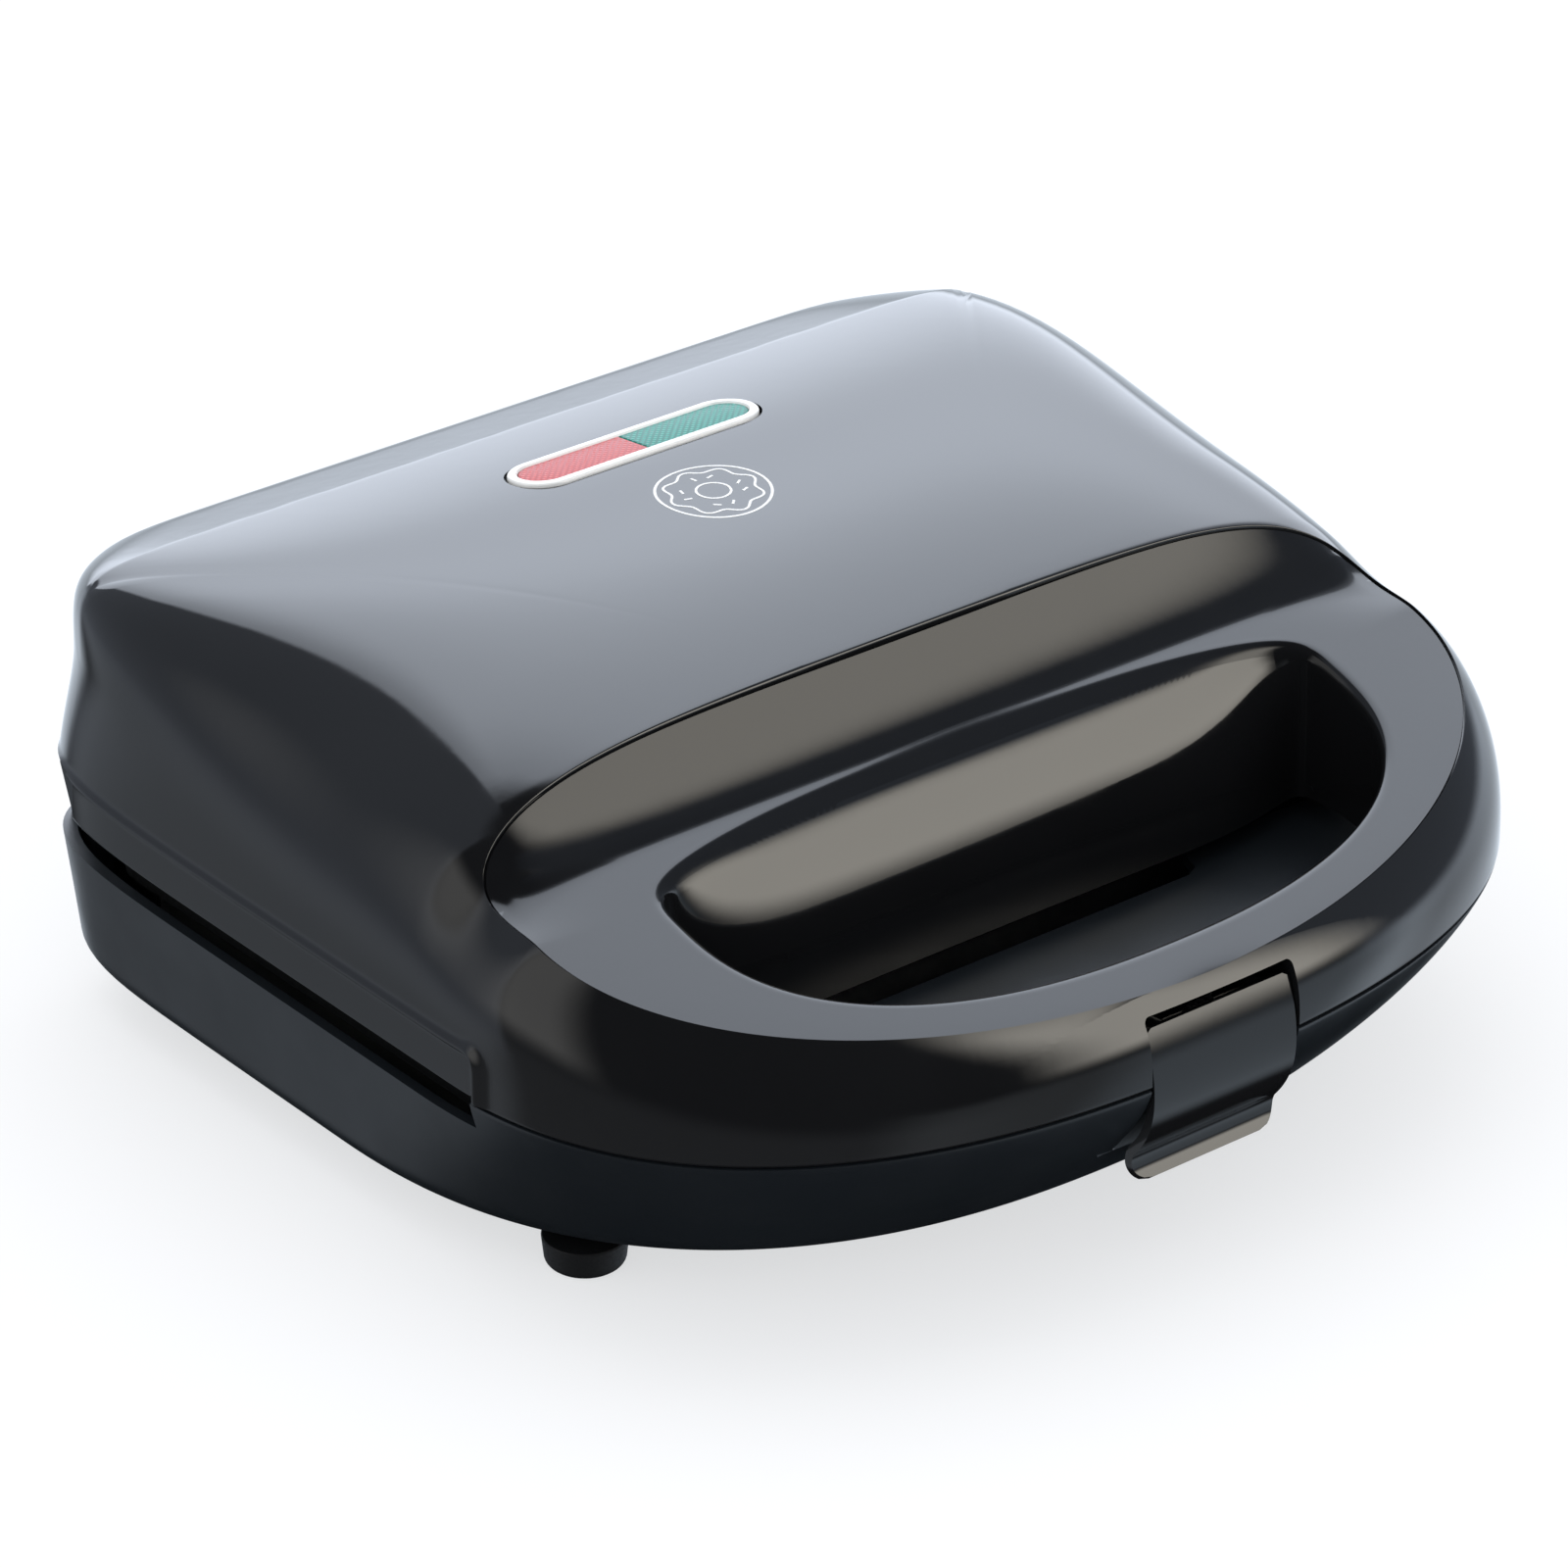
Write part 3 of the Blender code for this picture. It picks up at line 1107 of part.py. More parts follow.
smooth(add_object("base_jumper_lead", tube_mesh("base_jumper_lead", [
    (-0.0155, 0.0480, -0.0280), (-0.0300, 0.0500, -0.0285), (-0.0460, 0.0570, -0.0285),
    (-0.0600, 0.0690, -0.0280), (-0.0720, 0.0772, -0.0255), (-0.0800, 0.0795, -0.0200),
    (LEAD_X[0], 0.0830, -0.0130), (LEAD_X[0], HINGE_Y, -0.0060), (LEAD_X[0], HINGE_Y, HINGE_Z + 0.0010)],
    LEAD_RADIUS), "sleeving", base_frame))
smooth(add_object("lid_jumper_lead", tube_mesh("lid_jumper_lead", [
    (LEAD_X[1], HINGE_Y, HINGE_Z - 0.0010), (LEAD_X[1], HINGE_Y, 0.0120), (LEAD_X[1], 0.0852, 0.0190),
    (-0.0800, 0.0810, 0.0240), (-0.0680, 0.0730, 0.0260), (-0.0500, 0.0620, 0.0265),
    (-0.0360, 0.0560, 0.0270), (-0.0250, 0.0480, 0.0300), (-0.0230, 0.0460, 0.0340)],
    LEAD_RADIUS), "sleeving", lid_frame))
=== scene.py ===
"""Looks of the table-top donut maker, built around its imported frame.

Shapes are drawn about the middle of the parting plane between lid and base: x is the width, y points
to the rear and z is the height above that plane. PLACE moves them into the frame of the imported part.
"""
import json
from math import atan, atan2, cos, degrees, dist, pi, radians, sin, sqrt, tau

import bmesh
import bpy
import numpy as np
from mathutils import Matrix, Vector


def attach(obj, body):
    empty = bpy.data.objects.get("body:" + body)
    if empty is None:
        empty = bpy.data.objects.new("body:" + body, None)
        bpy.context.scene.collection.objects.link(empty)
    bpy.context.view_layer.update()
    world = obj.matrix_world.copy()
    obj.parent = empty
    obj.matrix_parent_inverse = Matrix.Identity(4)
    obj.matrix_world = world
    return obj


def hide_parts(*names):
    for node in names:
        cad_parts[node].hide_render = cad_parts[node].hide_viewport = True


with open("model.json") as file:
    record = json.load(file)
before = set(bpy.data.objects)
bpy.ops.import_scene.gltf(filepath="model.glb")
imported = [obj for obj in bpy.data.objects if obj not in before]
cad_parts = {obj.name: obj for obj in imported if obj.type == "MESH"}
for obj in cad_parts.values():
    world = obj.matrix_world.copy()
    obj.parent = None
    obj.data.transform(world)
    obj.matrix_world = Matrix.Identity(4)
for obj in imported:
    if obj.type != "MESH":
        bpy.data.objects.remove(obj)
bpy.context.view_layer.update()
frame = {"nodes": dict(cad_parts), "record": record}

# ---- driving dimensions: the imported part's, and the skins' own rounds and limits ----
PLACE = Vector((0.0, 0.0135, 0.0430))
HALF_WIDTH = 0.1138
FRONT_START = -0.0441
FRONT_REACH = 0.0820
FRONT_POWER = 2.38
REAR_END = 0.0965
REAR_POWER = 10.0
REAR_POWER_TOP = 7.0
WALL = 0.0022
PARTING_GAP = 0.0005
FIT_GAP = 0.0003

TOP_HEIGHT = 0.0586
TOP_SLOPE = 0.0974
TOP_CROWN = -3.217
TOP_SKEW = 9.97
STEP_LINE = -0.036
CREASE = 0.0728
BEVEL_END = 0.0893
BEVEL_SLOPE = -0.29
REAR_ROUND = 0.0080
WALL_FROM = 0.98
REAR_POWER_RISE = 0.035
REAR_INSET = (0.040, 0.030)
SHOULDER_POWER = 4.2
SHOULDER_TIGHTEN = 180.0
SHOULDER_MIDDLE = -0.0135
FRONT_SHOULDER_DROP = 1.4
FRONT_SHOULDER_START = -0.050
FRONT_SHOULDER_LENGTH = 0.070

PLATE_HALF_WIDTH = 0.1038
PLATE_MIDDLE = -0.0614
PLATE_FRONT = 0.0592
PLATE_FRONT_POWER = 1.985
PLATE_REAR = 0.0243
PLATE_REAR_POWER = 6.5
PLATE_CORNER = 0.999
PLATE_HEIGHT = 0.0314
PLATE_TILT = 0.266
BAND_DEPTH = 0.0135
RIM_STEP = 0.0006
RECESS_MARGIN = 0.0001
RECESS_TOLERANCE = 0.0014

HOLE_HALF_WIDTH = 0.0768
HOLE_MIDDLE = -0.0687
HOLE_FRONT = 0.0417
HOLE_FRONT_POWER = 2.36
HOLE_REAR = 0.0171
HOLE_REAR_POWER = 3.6
HOLE_ROUND = 0.0026
ROLL_DEPTH = 0.0185
ROLL_HEIGHT = 0.0353
SKIRT_BOTTOM = 0.0006

SLOT_FRONT = -0.0537
SKIRT_REAR = 0.0760
LID_EDGE = 0.0108
BASE_EDGE = -0.0058
REAR_EDGE = -0.0105

BASE_DEPTH = 0.0366
BASE_ROUND = 0.0090
BOW_SHIFT = 0.0450
SIDE_DRAFT = 0.0040
REAR_DRAFT = 0.0030
FRONT_RAKE = 0.0078
RAKE_DEPTH = 0.0140
RAKE_POWER = 1.38

HINGE_Y = 0.0865
HINGE_Z = 0.0035
BARREL_RADIUS = 0.0075
KNUCKLE_RADIUS = 0.0052
PIN_RADIUS = 0.0020
KNUCKLE_X = (0.0895, 0.0975)
EAR_X = (0.0985, 0.1025)
LUG_X = (0.0862, 0.0885)
BARREL_END = 0.0800
BORE_END = 0.1100

LATCH_WIDTH = 0.0338
LATCH_PIVOT_Y = -0.1185
LATCH_PIVOT_Z = 0.0070
LATCH_PIN_RADIUS = 0.0010
LATCH_WALL = 0.0018
RECESS_TOP = 0.0132
CATCH_Y = -0.1150
LATCH_HALF_SLOT = LATCH_WIDTH / 2 + 0.0006

GRID_FRONT = -0.0515
GRID_REAR = 0.0745
GRID_HALF_WIDTH = 0.1045
GRID_CORNER = 0.0100
RING_MIDDLE_RADIUS = 0.0134
RING_SECTION = 0.0070
RING_DEPTH = 0.0090
RING_PITCH_X = 0.0560
RING_PITCH_Y = 0.0385
PLATE_FACE = 0.0006
PLATE_SKIN = 0.0018
PLATE_RIM = 0.0098
BOSS_TOP = 0.0186
SCREW_BORE_TOP = 0.0212
SCREW_X = 0.0930
SCREW_Y = (-0.0400, 0.0630)
SCREW_RADIUS = 0.0014
HEAD_RADIUS = 0.0026
HEAD_DEPTH = 0.0013
POST_RADIUS = 0.0036
GLAND_X = 0.0300
GLAND_Z = -0.0220
GLAND_NECK = 0.0046
OUTSIDE_X = 0.1300
OUTSIDE_FRONT = -0.1400
OUTSIDE_REAR = 0.1220

INDICATOR_Y = 0.0448
INDICATOR_LENGTH = 0.0570
INDICATOR_WIDTH = 0.0142
INDICATOR_BORDER = 0.0020

FOOT_RADIUS = 0.0080
FEET = {"foot_front_left": (-0.0880, -0.0530), "foot_front_right": (0.0880, -0.0530),
        "foot_rear_left": (-0.0860, 0.0680), "foot_rear_right": (0.0860, 0.0680)}

# rib and sunk band along the side slots; pairs are at the front and along the slot
BEAD_TOP = 0.0104
BEAD_END = -0.0560
BEAD_TURN = 0.0032
RIB_WIDTH = (0.0022, 0.0012)
RIB_HEIGHT = (0.0009, 0.0005)
RIB_FADE = 0.0050
BAND_SINK = 0.0010
BAND_MARGIN = 0.0004
BAND_EDGE = 0.0016
RELIEF_X = 0.0900

# small rounds, grooves and turned edges of the skins
HOLE_ROUND_INSIDE = 0.0008
GROOVE_WIDTH = 0.0002
GROOVE_DEPTH = 0.0007
LIP_ROUND = 0.0007
LIP_DROP = 0.00035
LIP_ABOVE_RECESS = 0.7 * RIM_STEP
INNER_LIP = 0.0003
EDGE_LIFT = 0.0005
EDGE_DRAW = 0.0004
EDGE_ROUND = 0.00012

# sampling of the fine skins, closer from and to these distances round the rib's end and top
FINE = 2
RAYS = 360
RIB_RAY_STEP = 0.0006
RIB_RAYS = (-0.0045, 0.0060)
RIB_ROWS = (0.0030, -0.0032)
OVAL_POINTS = 2880
BEND_WEIGHT = 0.7
ROW_BEND_WEIGHT = 0.9
STEEP = -0.80
FAR_OUT = 0.30
HALVINGS = 40


# ---- surfaces ----
def smooth_step(t):
    t = np.clip(t, 0.0, 1.0)
    return t * t * (3.0 - 2.0 * t)


def run_along(x, y):
    """Distance along a line from its first point to each of its points."""
    return np.concatenate([[0.0], np.cumsum(np.hypot(np.diff(x), np.diff(y)))])


def bend_along(x, y):
    """Heading of each step of a line, and how far the line has turned at each of its points."""
    heading = np.unwrap(np.arctan2(np.diff(y), np.diff(x)))
    return heading, np.concatenate([[0.0, 0.0], np.cumsum(np.abs(np.diff(heading)))])


def two_part_oval(half_width, middle, front, front_power, rear, rear_power):
    """Even points round an oval whose front and rear halves have their own reach and power."""
    angle = np.linspace(-pi / 2, 1.5 * pi, OVAL_POINTS, endpoint=False)
    c, s = np.cos(angle), np.sin(angle)
    power = np.where(s < 0, front_power, rear_power)
    x = half_width * np.sign(c) * np.abs(c) ** (2.0 / power)
    y = middle + np.where(s < 0, front, rear) * np.sign(s) * np.abs(s) ** (2.0 / power)
    x, y = np.append(x, x[0]), np.append(y, y[0])
    run = run_along(x, y)
    even = np.linspace(0.0, run[-1], OVAL_POINTS, endpoint=False)
    return np.interp(even, run, x), np.interp(even, run, y)


def outline_curve(side=0.0, front=0.0, rear=0.0, shift=0.0):
    widest = FRONT_START + shift
    return two_part_oval(HALF_WIDTH - side, widest, FRONT_REACH - front + shift, FRONT_POWER,
                         REAR_END - rear - widest, REAR_POWER)


def plate_curve(grow=0.0):
    return two_part_oval(PLATE_HALF_WIDTH + grow, PLATE_MIDDLE, PLATE_FRONT + grow,
                         PLATE_FRONT_POWER, PLATE_REAR + grow, PLATE_REAR_POWER)


def hole_curve(grow=0.0):
    return two_part_oval(HOLE_HALF_WIDTH + grow, HOLE_MIDDLE, HOLE_FRONT + grow, HOLE_FRONT_POWER,
                         HOLE_REAR + grow, HOLE_REAR_POWER)


def reach_at(curve, angles):
    """How far a plan curve lies from the middle of the hole, along each angle."""
    x, y = curve
    angle = np.unwrap(np.arctan2(y - HOLE_MIDDLE, x))
    far = np.hypot(x, y - HOLE_MIDDLE)
    angle = np.concatenate([angle, angle[:1] + tau])
    far = np.concatenate([far, far[:1]])
    return np.interp((angles - angle[0]) % tau + angle[0], angle, far)


def ray_angles():
    """Angles round the hole, closer where the plan curves bend."""
    dense = np.linspace(-pi / 2, 1.5 * pi, OVAL_POINTS + 1)
    spread = np.zeros(len(dense))
    for curve in (outline_curve(), plate_curve(), hole_curve()):
        far = reach_at(curve, dense)
        x, y = far * np.cos(dense), far * np.sin(dense)
        run, (_, bend) = run_along(x, y), bend_along(x, y)
        spread += run / run[-1] + BEND_WEIGHT * bend / bend[-1]
    even = np.interp(np.arange(RAYS) * spread[-1] / RAYS, spread, dense)
    # more rays where the rib along the side slots turns down
    x, y = outline_curve()
    extra = []
    for level in np.arange(BEAD_END + RIB_RAYS[0], BEAD_END + RIB_RAYS[1], RIB_RAY_STEP):
        at = np.argmin(np.where(x > 0, np.abs(y - level), 1.0))
        turn = atan2(y[at] - HOLE_MIDDLE, x[at])
        extra += [turn, pi - turn]
    every = np.concatenate([even, extra])
    return np.sort(np.where(every < -pi / 2, every + tau, every))


ANGLES = ray_angles()
COS, SIN = np.cos(ANGLES), np.sin(ANGLES)


def ring_at(far, z):
    """A ring of points at a reach along every ray, and at one height or a height for each."""
    return np.stack([far * COS, HOLE_MIDDLE + far * SIN, np.broadcast_to(z, far.shape)], 1)


def plate_height(y):
    return PLATE_HEIGHT + PLATE_TILT * (y - PLATE_MIDDLE)


def plate_rear_edge(x):
    """The recess's rear edge. It isn't followed into the very corners, where the curve turns down."""
    ratio = np.clip(np.abs(x) / PLATE_HALF_WIDTH, 0.0, PLATE_CORNER)
    return PLATE_MIDDLE + PLATE_REAR * (1.0 - ratio ** PLATE_REAR_POWER) ** (1.0 / PLATE_REAR_POWER)


def shoulder_power(y):
    rear = SHOULDER_POWER * np.exp(SHOULDER_TIGHTEN * np.clip(y - SHOULDER_MIDDLE, 0.0,
                                                              CREASE - SHOULDER_MIDDLE) ** 2)
    return rear - FRONT_SHOULDER_DROP * smooth_step((FRONT_SHOULDER_START - y)
                                                    / FRONT_SHOULDER_LENGTH)


def top_panel(y):
    return TOP_HEIGHT + TOP_SLOPE * y + TOP_CROWN * y ** 2 + TOP_SKEW * y ** 3


def handle_crown(y):
    """Height of the middle line that carries the lid's side up to the recess's lip."""
    y = np.maximum(y, PLATE_MIDDLE - PLATE_FRONT * 0.995)
    ratio = np.clip((PLATE_MIDDLE - y) / PLATE_FRONT, 0.0, 1.0)
    x = PLATE_HALF_WIDTH * (1.0 - ratio ** PLATE_FRONT_POWER) ** (1.0 / PLATE_FRONT_POWER)
    spread = (x / HALF_WIDTH) ** FRONT_POWER + ((FRONT_START - y) / FRONT_REACH) ** FRONT_POWER
    power = shoulder_power(y)
    edge = 1.0 - spread ** (power / FRONT_POWER)
    return (plate_height(y) + RIM_STEP) / edge ** (1.0 / power)


def crown(y):
    """Height of the lid's middle line: handle, top panel, rear bevel, round and back wall."""
    y = np.asarray(y, float)
    blend = smooth_step((STEP_LINE - y) / (STEP_LINE - PLATE_MIDDLE))
    top = top_panel(np.maximum(y, PLATE_MIDDLE))
    handle = handle_crown(np.minimum(y, PLATE_MIDDLE))
    height = np.where(y > STEP_LINE, top, (1 - blend) * top + blend * handle)
    bevel = top_panel(CREASE) + BEVEL_SLOPE * (y - CREASE)
    height = np.where(y > CREASE, bevel, height)
    lean = atan(-BEVEL_SLOPE)
    round_y = BEVEL_END - REAR_ROUND * sin(lean)
    round_z = top_panel(CREASE) + BEVEL_SLOPE * (BEVEL_END - CREASE) - REAR_ROUND * cos(lean)
    wall_y = round_y + WALL_FROM * REAR_ROUND
    wall_z = round_z + REAR_ROUND * sqrt(1 - WALL_FROM ** 2)
    corner = round_z + np.sqrt(np.maximum(REAR_ROUND ** 2 - (y - round_y) ** 2, 0.0))
    height = np.where(y > BEVEL_END, corner, height)
    wall = wall_z * (REAR_END - y) / (REAR_END - wall_y)
    return np.where(y > wall_y, wall, height)


def inside_lid(x, y, z, inset):
    """Whether points lie inside the lid's outer form, drawn in by an inset."""
    half = HALF_WIDTH - inset
    ahead = np.clip(FRONT_START - y, 0.0, None) / (FRONT_REACH - inset)
    behind = np.clip(y - FRONT_START, 0.0, None) / (REAR_END - inset - FRONT_START)
    front = ((np.abs(x) / half) ** FRONT_POWER + ahead ** FRONT_POWER) ** (1.0 / FRONT_POWER)
    rear_power = REAR_POWER + (REAR_POWER_TOP - REAR_POWER) * smooth_step(z / REAR_POWER_RISE)
    narrow = np.clip(1.0 - behind ** rear_power, 1e-9, 1.0) ** (1.0 / rear_power)
    spread = np.where(y < FRONT_START, front, np.abs(x) / (half * narrow))
    shifted = y + inset * smooth_step((y - REAR_INSET[0]) / REAR_INSET[1])
    height = np.maximum(crown(shifted) - inset, 1e-6)
    power = shoulder_power(y)
    filled = np.minimum(spread, 3.0) ** power + np.minimum(np.abs(z) / height, 3.0) ** power
    return (filled < 1.0) & (shifted < REAR_END) & (behind < 1.0)


def lid_height(x, y):
    spread = np.clip(np.abs(x) / HALF_WIDTH, 0.0, 1.0)
    power = shoulder_power(y)
    return crown(y) * (1.0 - spread ** power) ** (1.0 / power)


def recess_height(x, y, inset=0.0):
    edge = plate_rear_edge(x)
    rise = np.maximum(lid_height(x, edge) - RIM_STEP - plate_height(edge), 0.0)
    away = np.clip((edge - y) / BAND_DEPTH, 0.0, 1.0)
    return plate_height(y) + rise * (1.0 - away) ** 2 - inset


def recess_at(far, inset):
    return recess_height(far * COS, HOLE_MIDDLE + far * SIN, inset)


def roll_shift(z, x):
    """How far the roll at the rear of the hole stands forward."""
    top = plate_height(HOLE_MIDDLE + HOLE_REAR)
    rim = ROLL_DEPTH * sqrt(max(1.0 - (top / ROLL_HEIGHT) ** 2, 0.0))
    deep = ROLL_DEPTH * np.sqrt(np.clip(1.0 - (z / ROLL_HEIGHT) ** 2, 0.0, 1.0))
    fade = 1.0 - np.clip(np.abs(x) / HOLE_HALF_WIDTH, 0.0, 1.0) ** 6
    return np.maximum(deep - rim, 0.0) * fade


def side_relief(y, z):
    """How far the lid's side stands out: a rib round the band along the slot, and the sunk band."""
    ahead = BEAD_END - y + BEAD_TURN
    above = z - BEAD_TOP + BEAD_TURN
    away = np.hypot(np.maximum(ahead, 0.0), np.maximum(above, 0.0)) \
        + np.minimum(np.maximum(ahead, above), 0.0) - BEAD_TURN
    along = smooth_step((y - BEAD_END) / RIB_FADE)
    width, height = (first + (last - first) * along for first, last in (RIB_WIDTH, RIB_HEIGHT))
    rib = height * np.exp(-((away + 0.3 * width) / width) ** 2)
    return rib - BAND_SINK * smooth_step((-away - BAND_MARGIN) / BAND_EDGE)


def lid_profile(start, inset, steps_top, steps_side, dense):
    """Points down the lid's form on each ray. The row where the crease or shoulder lies is kept."""
    lift = np.linspace(pi / 2, 0.0, dense)[None, :]
    low = np.zeros((len(ANGLES), dense))
    high = np.full((len(ANGLES), dense), FAR_OUT)
    for _ in range(HALVINGS):
        middle = (low + high) / 2
        far = start[:, None] + middle * np.cos(lift)
        hit = inside_lid(far * COS[:, None], HOLE_MIDDLE + far * SIN[:, None], middle * np.sin(lift),
                         inset)
        low = np.where(hit, middle, low)
        high = np.where(hit, high, middle)
    far = start[:, None] + low * np.cos(lift)
    z = low * np.sin(lift)
    found_far, found_z = [], []
    for k, angle in enumerate(ANGLES):
        run, (turn, bend) = run_along(far[k], z[k]), bend_along(far[k], z[k])
        measure = run / run[-1] + ROW_BEND_WEIGHT * bend / max(bend[-1], 1e-9)
        y = HOLE_MIDDLE + far[k] * sin(angle)
        steep = np.argmax(np.concatenate([turn[:1], turn]) < STEEP)
        split = measure[steep]
        crease = CREASE - inset
        passed = np.argmax(y > crease) if y.max() > crease else len(y) - 1
        if 0 < passed < steep:
            share = (crease - y[passed - 1]) / (y[passed] - y[passed - 1])
            split = measure[passed - 1] + share * (measure[passed] - measure[passed - 1])
        where = [np.linspace(0.0, split, steps_top, endpoint=False)]
        if inset == 0.0:
            # closer rows where the rib lies
            high_at, low_at = np.interp([-BEAD_TOP - RIB_ROWS[0], -BEAD_TOP - RIB_ROWS[1]],
                                        -z[k][steep:], measure[steep:])
            where += [np.linspace(split, high_at, steps_side - 12 * FINE, endpoint=False),
                      np.linspace(high_at, low_at, 8 * FINE, endpoint=False),
                      np.linspace(low_at, measure[-1], 4 * FINE)]
        else:
            where.append(np.linspace(split, measure[-1], steps_side))
        where = np.concatenate(where)
        found_far.append(np.interp(where, measure, far[k]))
        found_z.append(np.interp(where, measure, z[k]))
    return np.array(found_far), np.array(found_z)


def bend_between(a, b, c, count):
    """Points of a soft corner from a to c with its control point at b."""
    return [(1 - t) ** 2 * a + 2 * t * (1 - t) * b + t ** 2 * c
            for t in np.linspace(0.0, 1.0, count + 2)[1:-1]]


def lid_skin(inset, wall_steps, recess_steps, top_steps, side_steps, dense):
    """Rings over the lid: up the hole, over its soft rim, across the recess, over the top and down.
    With an inset they are the plainer inner face."""
    inner = inset > 0.0
    rim = reach_at(hole_curve(inset), ANGLES)
    x, y = rim * COS, HOLE_MIDDLE + rim * SIN
    top = recess_at(rim, inset)
    rear = smooth_step((y - HOLE_MIDDLE) / (0.5 * HOLE_REAR))

    def wall_point(z):
        return np.stack([x, y - rear * roll_shift(z, x), z], 1)

    soft = HOLE_ROUND_INSIDE if inner else HOLE_ROUND
    rings = [wall_point(SKIRT_BOTTOM + (top - soft - SKIRT_BOTTOM) * k / wall_steps)
             for k in range(wall_steps + 1)]
    soft_far = rim + soft
    after = ring_at(soft_far, recess_at(soft_far, inset))
    if not inner:
        rings += bend_between(rings[-1], wall_point(top), after, 3 * FINE + 1)
    rings.append(after)
    edge = reach_at(plate_curve(inset), ANGLES)
    far, z = lid_profile(edge + RIM_STEP * 0.5, inset, top_steps, side_steps, dense)
    z = np.maximum(z, PARTING_GAP / 2)
    # the recess stays below the lip that stands round it
    over = np.maximum(recess_at(edge, inset) - (z[:, 0] - LIP_ABOVE_RECESS), 0.0)
    groove = 0.0 if inner else GROOVE_WIDTH
    for k in range(1, recess_steps + 1):
        out = soft_far + (edge - groove - soft_far) * k / recess_steps
        rings.append(ring_at(out, recess_at(out, inset) - over * (k / recess_steps) ** 3))
    recess_z = rings[-1][:, 2]
    rows = [ring_at(far[:, k], z[:, k]) for k in range(far.shape[1])]
    if inner:
        recess_z[:] = np.minimum(recess_z, z[:, 0] - INNER_LIP)
        return rings + rows
    # a fine groove where the recess meets the lip
    rings += [ring_at(out, recess_z - GROOVE_DEPTH) for out in (edge - GROOVE_WIDTH / 2, far[:, 0])]

    # a small round on the lip of the top
    def past_lip(share):
        return ring_at(far[:, 0] + share * (far[:, 1] - far[:, 0]),
                       z[:, 0] + share * (z[:, 1] - z[:, 0]))

    first_row = np.hypot(far[:, 1] - far[:, 0], z[:, 1] - z[:, 0])
    share = np.clip(LIP_ROUND / np.maximum(first_row, 1e-6), 0.0, 0.5)
    sunk = rows[0] - (0.0, 0.0, LIP_DROP)
    outward = past_lip(share)
    rings += [sunk, *bend_between(sunk, rows[0], outward, 2), outward, past_lip(1.6 * share)]
    # the lower edge turns in a little at the parting line
    lifted = rows[-1] + (0.0, 0.0, EDGE_LIFT)
    drawn = ring_at(far[:, -1] - EDGE_DRAW, z[:, -1])
    rings += [*rows[1:-1], lifted, *bend_between(lifted, rows[-1], drawn, 2), drawn]
    for ring in rings[-len(rows) - 3:]:
        stand = np.where(np.abs(ring[:, 0]) > RELIEF_X, side_relief(ring[:, 1], ring[:, 2]), 0.0)
        ring[:, 0] += np.sign(ring[:, 0]) * stand
    return rings


def hull_ring(depth, wall=0.0, draw=0.0, drop=0.0):
    """The base's outline at a depth below the parting plane, drawn in by a wall or an edge."""
    turn = np.clip((depth - (BASE_DEPTH - BASE_ROUND)) / BASE_ROUND, 0.0, 1.0)
    foot = BASE_ROUND * (1.0 - sqrt(1.0 - turn ** 2))
    level = depth / (BASE_DEPTH - BASE_ROUND)
    side = SIDE_DRAFT * level + foot
    rear = REAR_DRAFT * level + foot
    front = FRONT_RAKE * (depth / RAKE_DEPTH) ** RAKE_POWER + 0.6 * foot
    curve = outline_curve(side + wall, front + wall, rear + wall, BOW_SHIFT * depth / BASE_DEPTH)
    return ring_at(reach_at(curve, ANGLES) - draw, -depth - drop)


# ---- mesh makers ----
CUT, ADD = "DIFFERENCE", "UNION"


def as_mesh(bm):
    mesh = bpy.data.meshes.new("work")
    bm.to_mesh(mesh)
    bm.free()
    return mesh


def mesh_from(bm, triangles=False):
    bmesh.ops.recalc_face_normals(bm, faces=bm.faces)
    if triangles:
        bmesh.ops.triangulate(bm, faces=bm.faces)
    return as_mesh(bm)


def loft(rings, closed=False, caps=False, triangles=False):
    """A mesh between rings of points. A ring of one point makes a tip."""
    bm = bmesh.new()
    rings = [[bm.verts.new(point) for point in ring] for ring in rings]
    for lower, upper in zip(rings, rings[1:] + rings[:1] if closed else rings[1:]):
        count = max(len(lower), len(upper))
        for k in range(count):
            corners = []
            for vert in (lower[k % len(lower)], lower[(k + 1) % count % len(lower)],
                         upper[(k + 1) % count % len(upper)], upper[k % len(upper)]):
                if vert not in corners:
                    corners.append(vert)
            if len(corners) > 2:
                bm.faces.new(corners)
    if caps:
        bm.faces.new(rings[0])
        bm.faces.new(rings[-1])
    return mesh_from(bm, triangles)


def box_mesh(low, high, round_edges=0.0, segments=2):
    low, high = Vector(low), Vector(high)
    bm = bmesh.new()
    bmesh.ops.create_cube(bm, size=1.0)
    for vert in bm.verts:
        vert.co = (low + high) / 2 + Vector(c * s for c, s in zip(vert.co, high - low))
    if round_edges > 0.0:
        bmesh.ops.bevel(bm, geom=bm.edges, offset=round_edges, segments=segments, profile=0.5,
                        affect="EDGES")
    return mesh_from(bm)


def middle_box(half_width, y_range, z_range, round_edges=0.0, segments=2):
    return box_mesh(*zip((-half_width, half_width), y_range, z_range), round_edges, segments)


def box_pair(inner, outer, y_range, z_range, round_edges=0.0):
    """The same box on the right and on the left."""
    return join_meshes([box_mesh(*zip(x_range, y_range, z_range), round_edges)
                        for x_range in ((inner, outer), (-outer, -inner))])


